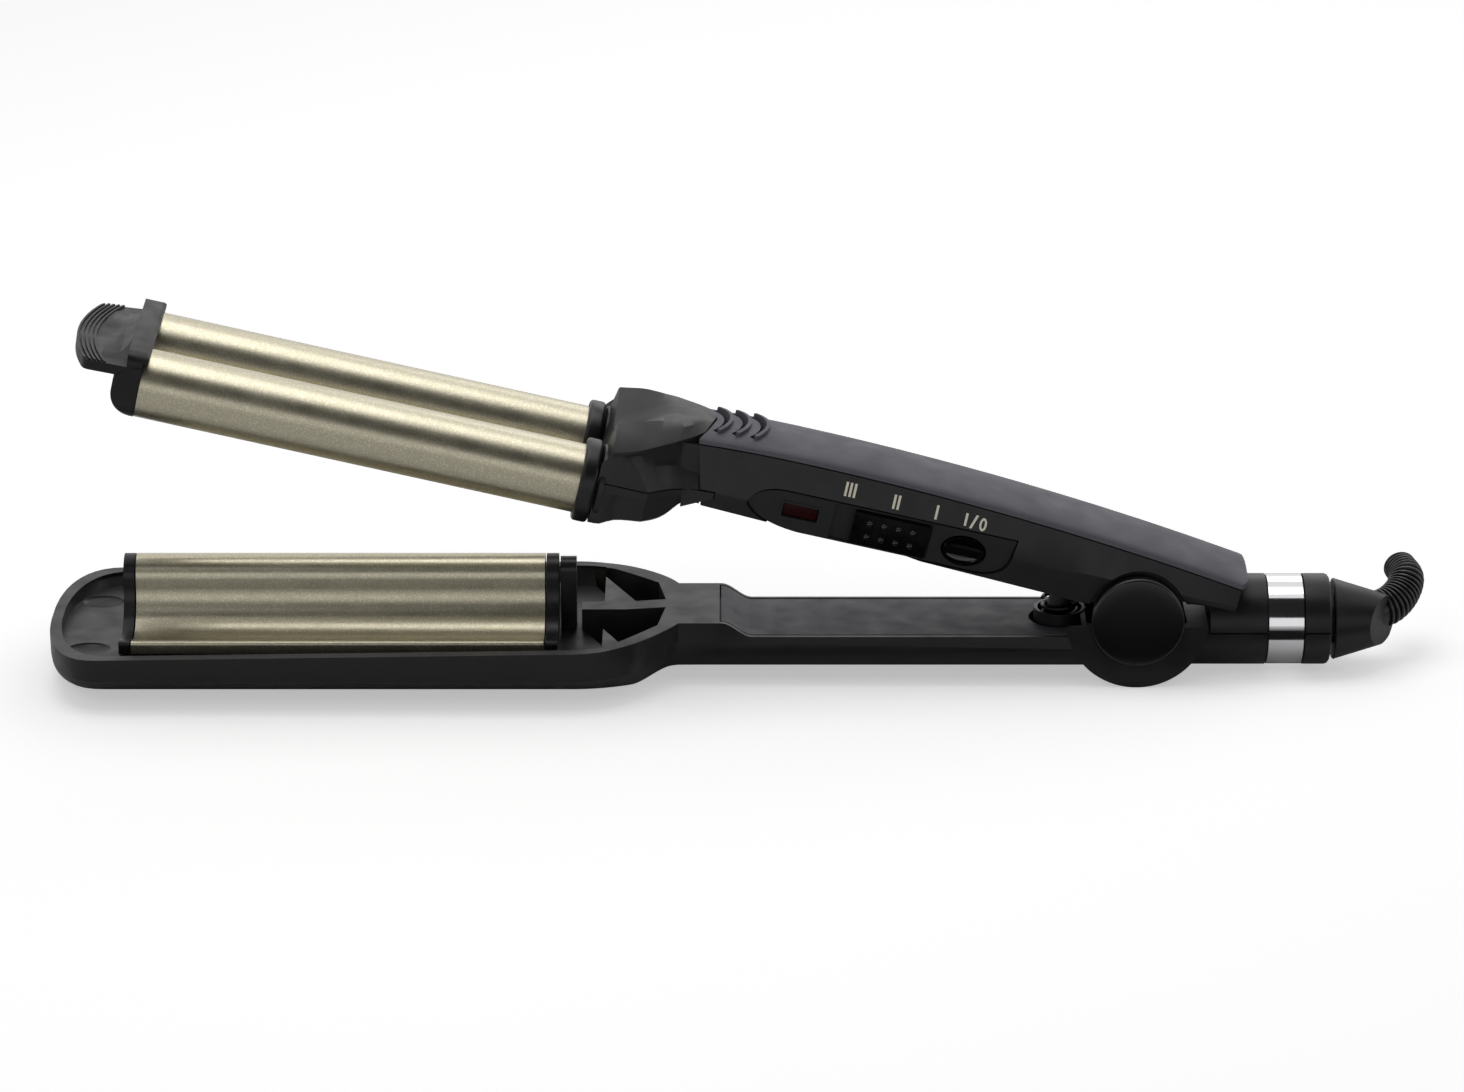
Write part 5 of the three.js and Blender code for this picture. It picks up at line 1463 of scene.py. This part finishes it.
@dataclass
class CordExit(Assembly):
    """Rear cylinder's top, chrome band, turning cone and ribbed sleeve."""

    band: Pair = (30.7, 39.2)
    band_inner: float = 9.64
    band_outer: float = 10.54
    cone_start: float = 46.5
    cone_end: float = 58.6
    cone_neck: float = 5.8
    facet: float = math.radians(32)
    sleeve_root: float = 4.6
    sleeve_tip: float = 3.9
    sleeve_bore: float = 2.75
    ribs: int = 17
    rib_depth: float = 0.9

    def build(self) -> None:
        """Builds the cord exit."""
        shop, size = self.shop, self.size
        above = Solid.block(0, 80, -20, 20, size.cord_axis + size.gap, 60)
        top = size.cord_cylinder(size.cord_start).within(above)
        # The darker ABS on the rear housing and the cone is painted shade.
        shop.shaped(top, "rear_housing_top", SHELL_PAINTED_SHADE, Body.LOWER)
        (start, end), inner, outer = self.band, self.band_inner, self.band_outer
        band = [(start, inner), (start, outer - 0.19), (start + 0.2, outer), (end - 0.2, outer),
                (end, outer - 0.19), (end, inner), (start, inner)]
        shop.shaped(Solid.lathed("X", band, (0, size.cord_axis), 200), "chrome_band", CHROME, Body.LOWER)
        shop.shaped(self.cone(), "swivel_cone", SHELL_PAINTED_SHADE, Body.CORD)
        shop.shaped(self.sleeve(), "strain_relief", RUBBER, Body.CORD, 50.0)

    def cone(self) -> Solid:
        """Turning cone whose end is cut at a slant."""
        start, end, root, height = self.cone_start, self.cone_end, self.cone_neck, self.size.cord_axis
        profile = [(43.0, 0), (43.0, root), (start, root), (start, 9.3), (start + 0.3, 9.55)]
        profile += [(at, mix(9.6, 5.9, (at - start) / (end - start))) for at in steps(start + 0.8, end, 6)]
        profile += [(end + 1.8, 5.2), (end + 2.9, 4), (end + 3.3, 0)]
        cone = Solid.lathed("X", profile, (0, height), 160)
        beyond = Solid.block(0, 40, -30, 30, -30, 30).moved(
            Matrix.Translation((end + 0.6, 0, height)) @ Matrix.Rotation(-self.facet, 4, "Z"))
        return cone.cut(beyond)

    def path(self, share: float) -> tuple[Vector, Vector]:
        """Point and direction of the sleeve's middle line at a share of its length."""
        end, height = self.cone_end, self.size.cord_axis
        knots = [(end - 5, 2, height + 0.4), (end + 1.2, 4.4, height + 1.4), (end + 4.8, 8, height + 3.2),
                 (end + 6.6, 12.4, height + 5.4), (end + 5.6, 18.6, height + 6.2)]
        lengths = [0.0]
        for a, b in zip(knots, knots[1:]):
            lengths.append(lengths[-1] + math.dist(a, b))

        def at(length: float) -> Vector:
            """Point at a length along the line."""
            return Vector([smooth(length, list(zip(lengths, values))) for values in zip(*knots)])

        length = share * lengths[-1]
        return at(length), (at(length + 0.05) - at(length - 0.05)).normalized()

    def sleeve(self) -> Solid:
        """Bend relief: a soft sleeve with round-edged ribs and a bore for the cord."""
        rings: list[tuple[float, float]] = [(0.03, self.sleeve_root), (0.2, self.sleeve_root)]
        start, end = 0.21, 1.0
        pitch = (end - start) / self.ribs
        for number in range(self.ribs):
            low = start + number * pitch
            radius = mix(self.sleeve_root, self.sleeve_tip, ease((low - start) / (end - start)))
            rings += [(low + pitch * share, radius - drop) for share, drop in (
                (0, self.rib_depth), (0.42, self.rib_depth), (0.48, 0.15), (0.58, 0),
                (0.84, 0), (0.94, 0.15))]
        bm = bmesh.new()
        previous: list[bmesh.types.BMEdge] = []
        whole = rings + [(1.0, self.sleeve_bore), (0.9, self.sleeve_bore)]
        for number, (share, radius) in enumerate(whole):
            centre, ahead = self.path(share)
            turn = Vector((0, 0, 1)).rotation_difference(ahead).to_matrix().to_4x4()
            drawn = bmesh.ops.create_circle(bm, cap_ends=number in (0, len(whole) - 1), segments=48,
                                            radius=radius, matrix=Matrix.Translation(centre) @ turn)["verts"]
            edges = list({edge for vert in drawn for edge in vert.link_edges})
            if previous:
                bmesh.ops.bridge_loops(bm, edges=previous + edges)
            previous = edges
        return Solid.of(bm)


class Inside(Assembly):
    """Parts inside the handle that only show through gaps."""

    def build(self) -> None:
        """Dresses the parts."""
        for node, finish in (("slide_switch", HEAT), ("push_switch", HEAT), ("circuit_board", BOARD),
                             ("pilot_lamp", LAMP), ("thermal_fuse", STEEL)):
            self.shop.dress(node, finish)


@dataclass
class Studio:
    """Pale floor, soft lamps, dark cards and the camera."""

    target: Vector = field(default_factory=lambda: Vector((-0.0005, 0.0, 0.030)))
    distance: float = 1.3
    elevation: float = 20.0
    lens: float = 137.0
    floor_lift: float = 0.46
    card_radius: float = 2.5
    card_span: Pair = (22.0, 74.0)
    card_start: float = -0.01
    card_lift: float = 0.0004

    def build(self) -> None:
        """Builds the studio."""
        self.camera()
        self.floor()
        self.world()
        self.lamp("softbox_top", (-0.1, 0.1, 0.9), (0.0, 0.0, 0.0), 0.7, 2.6)
        self.lamp("softbox_front", (-0.5, -0.9, 0.9), (0.0, 0.0, 0.03), 0.4, 0.7)
        self.lamp("softbox_rear", (0.3, 0.8, 0.6), (0.0, 0.0, 0.03), 0.5, 0.8)
        self.overhead_card()
        self.table_card("near", -0.082, -0.024, 0.01)
        self.table_card("far", -0.16, -0.082, 0.25)

    def camera(self) -> None:
        """Places the camera at the viewing angle."""
        data = bpy.data.cameras.new("camera")
        data.lens = self.lens
        data.sensor_width = 36.0
        data.clip_start = 0.05
        data.clip_end = 20.0
        camera = linked("camera", data)
        tilt = math.radians(self.elevation)
        camera.location = self.target + self.distance * Vector((0, -math.cos(tilt), math.sin(tilt)))
        camera.rotation_euler = (math.pi / 2 - tilt, 0, 0)
        bpy.context.scene.camera = camera

    def lamp(self, name: str, place: Sequence[float], aim: Sequence[float], size: float,
             power: float) -> None:
        """Adds a square softbox.

        Args:
            name: Its name.
            place: Where it stands.
            aim: The point that it faces.
            size: Its width in metres.
            power: Its power in watts.
        """
        data = bpy.data.lights.new(name, "AREA")
        data.size, data.energy = size, power
        lamp = linked(name, data)
        lamp.location = place
        lamp.rotation_euler = (Vector(aim) - Vector(place)).to_track_quat("-Z", "Y").to_euler()

    def staged(self, name: str, bm: bmesh.types.BMesh, material: Material) -> Object:
        """Turns a bmesh into a stage piece and frees it."""
        piece = linked(name, mesh_of(bm, name))
        piece.data.materials.append(material)
        return piece

    def floor(self) -> None:
        """Lays a pale floor that keeps the shadow and shows nearly white."""
        bm = bmesh.new()
        bmesh.ops.create_grid(bm, x_segments=1, y_segments=1, size=4.0)
        material = bpy.data.materials.new("studio_floor")
        tree = empty_tree(material)
        path = add_node(tree, "ShaderNodeLightPath")
        lift = add_node(tree, "ShaderNodeMath", {"operation": "MULTIPLY", 1: self.floor_lift},
                        {0: path.outputs["Is Camera Ray"]})
        shader = add_node(tree, "ShaderNodeBsdfPrincipled",
                          {"Base Color": linear("f4f4f4"), "Roughness": 0.9, "Specular IOR Level": 0.0,
                           "Emission Color": (1, 1, 1, 1)}, {"Emission Strength": lift.outputs[0]})
        add_node(tree, "ShaderNodeOutputMaterial", links={"Surface": shader.outputs["BSDF"]})
        self.staged("floor", bm, material)

    def card(self, name: str, bm: bmesh.types.BMesh, level: float) -> None:
        """Adds a card that only shows in reflections.

        Args:
            name: Its name.
            bm: Its form.
            level: How bright it shows, where 1 is white.
        """
        material = bpy.data.materials.new(f"studio_card_{name}")
        tree = empty_tree(material)
        glow = add_node(tree, "ShaderNodeEmission", {"Color": (1, 1, 1, 1), "Strength": level})
        add_node(tree, "ShaderNodeOutputMaterial", links={"Surface": glow.outputs[0]})
        card = self.staged(f"card_{name}", bm, material)
        card.visible_camera = card.visible_diffuse = card.visible_shadow = False
        card.visible_transmission = card.visible_volume_scatter = False

    def overhead_card(self) -> None:
        """Hangs a curved black card over the front, for the dark band in round metal."""
        low, high = (math.radians(angle) for angle in self.card_span)
        bm = bmesh.new()
        start = Vector((0, -math.cos(low), math.sin(low))) * self.card_radius
        ends = [bm.verts.new(start + Vector((x, 0, 0))) for x in (-4, 4)]
        edge = bm.edges.new(ends)
        bmesh.ops.spin(bm, geom=[*ends, edge], axis=(1, 0, 0), cent=(0, 0, 0), dvec=(0, 0, 0),
                       angle=low - high, steps=24, use_duplicate=False)
        self.card("overhead", bm, 0.02)

    def table_card(self, name: str, front: float, back: float, level: float) -> None:
        """Lays a card on the floor in front, for the dark reflections in upright sides."""
        bm = bmesh.new()
        middle = Matrix.Translation((self.card_start + 1, (front + back) / 2, self.card_lift))
        stretch = Matrix.Diagonal((1, (back - front) / 2, 1, 1))
        bmesh.ops.create_grid(bm, x_segments=1, y_segments=1, size=1.0, matrix=middle @ stretch)
        self.card(name, bm, level)

    def world(self) -> None:
        """Lights the scene softly from all round and shows white behind it."""
        world = bpy.data.worlds.new("studio")
        tree = empty_tree(world)
        path = add_node(tree, "ShaderNodeLightPath")
        seen = add_node(tree, "ShaderNodeMath", {"operation": "MAXIMUM"},
                        {0: path.outputs["Is Camera Ray"], 1: path.outputs["Is Transmission Ray"]})
        seen = add_node(tree, "ShaderNodeMath", {"operation": "MAXIMUM"},
                        {0: seen.outputs[0], 1: path.outputs["Is Glossy Ray"]})
        strength = add_node(tree, "ShaderNodeMapRange", {"To Min": 0.3, "To Max": 1.0},
                            {"Value": seen.outputs[0]})
        background = add_node(tree, "ShaderNodeBackground", {"Color": (1, 1, 1, 1)},
                              {"Strength": strength.outputs["Result"]})
        add_node(tree, "ShaderNodeOutputWorld", links={"Surface": background.outputs[0]})
        bpy.context.scene.world = world


def main() -> None:
    """Builds the scene."""
    logging.basicConfig(level=logging.INFO, format="%(message)s")
    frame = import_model()
    bpy.context.scene.view_settings.view_transform = "Standard"
    shop, size = Workshop(frame), Sizes()
    Studio().build()
    for kind in (Tray, WavePlate, CordExit, Neck, Handle, Barrels, TipCap, Controls, Inside):
        kind(shop, size).build()
        LOG.info("%s done", kind.__name__)
    bpy.context.view_layer.update()
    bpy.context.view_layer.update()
    LOG.info("%d pieces made", shop.made)


if __name__ == "__main__":
    main()
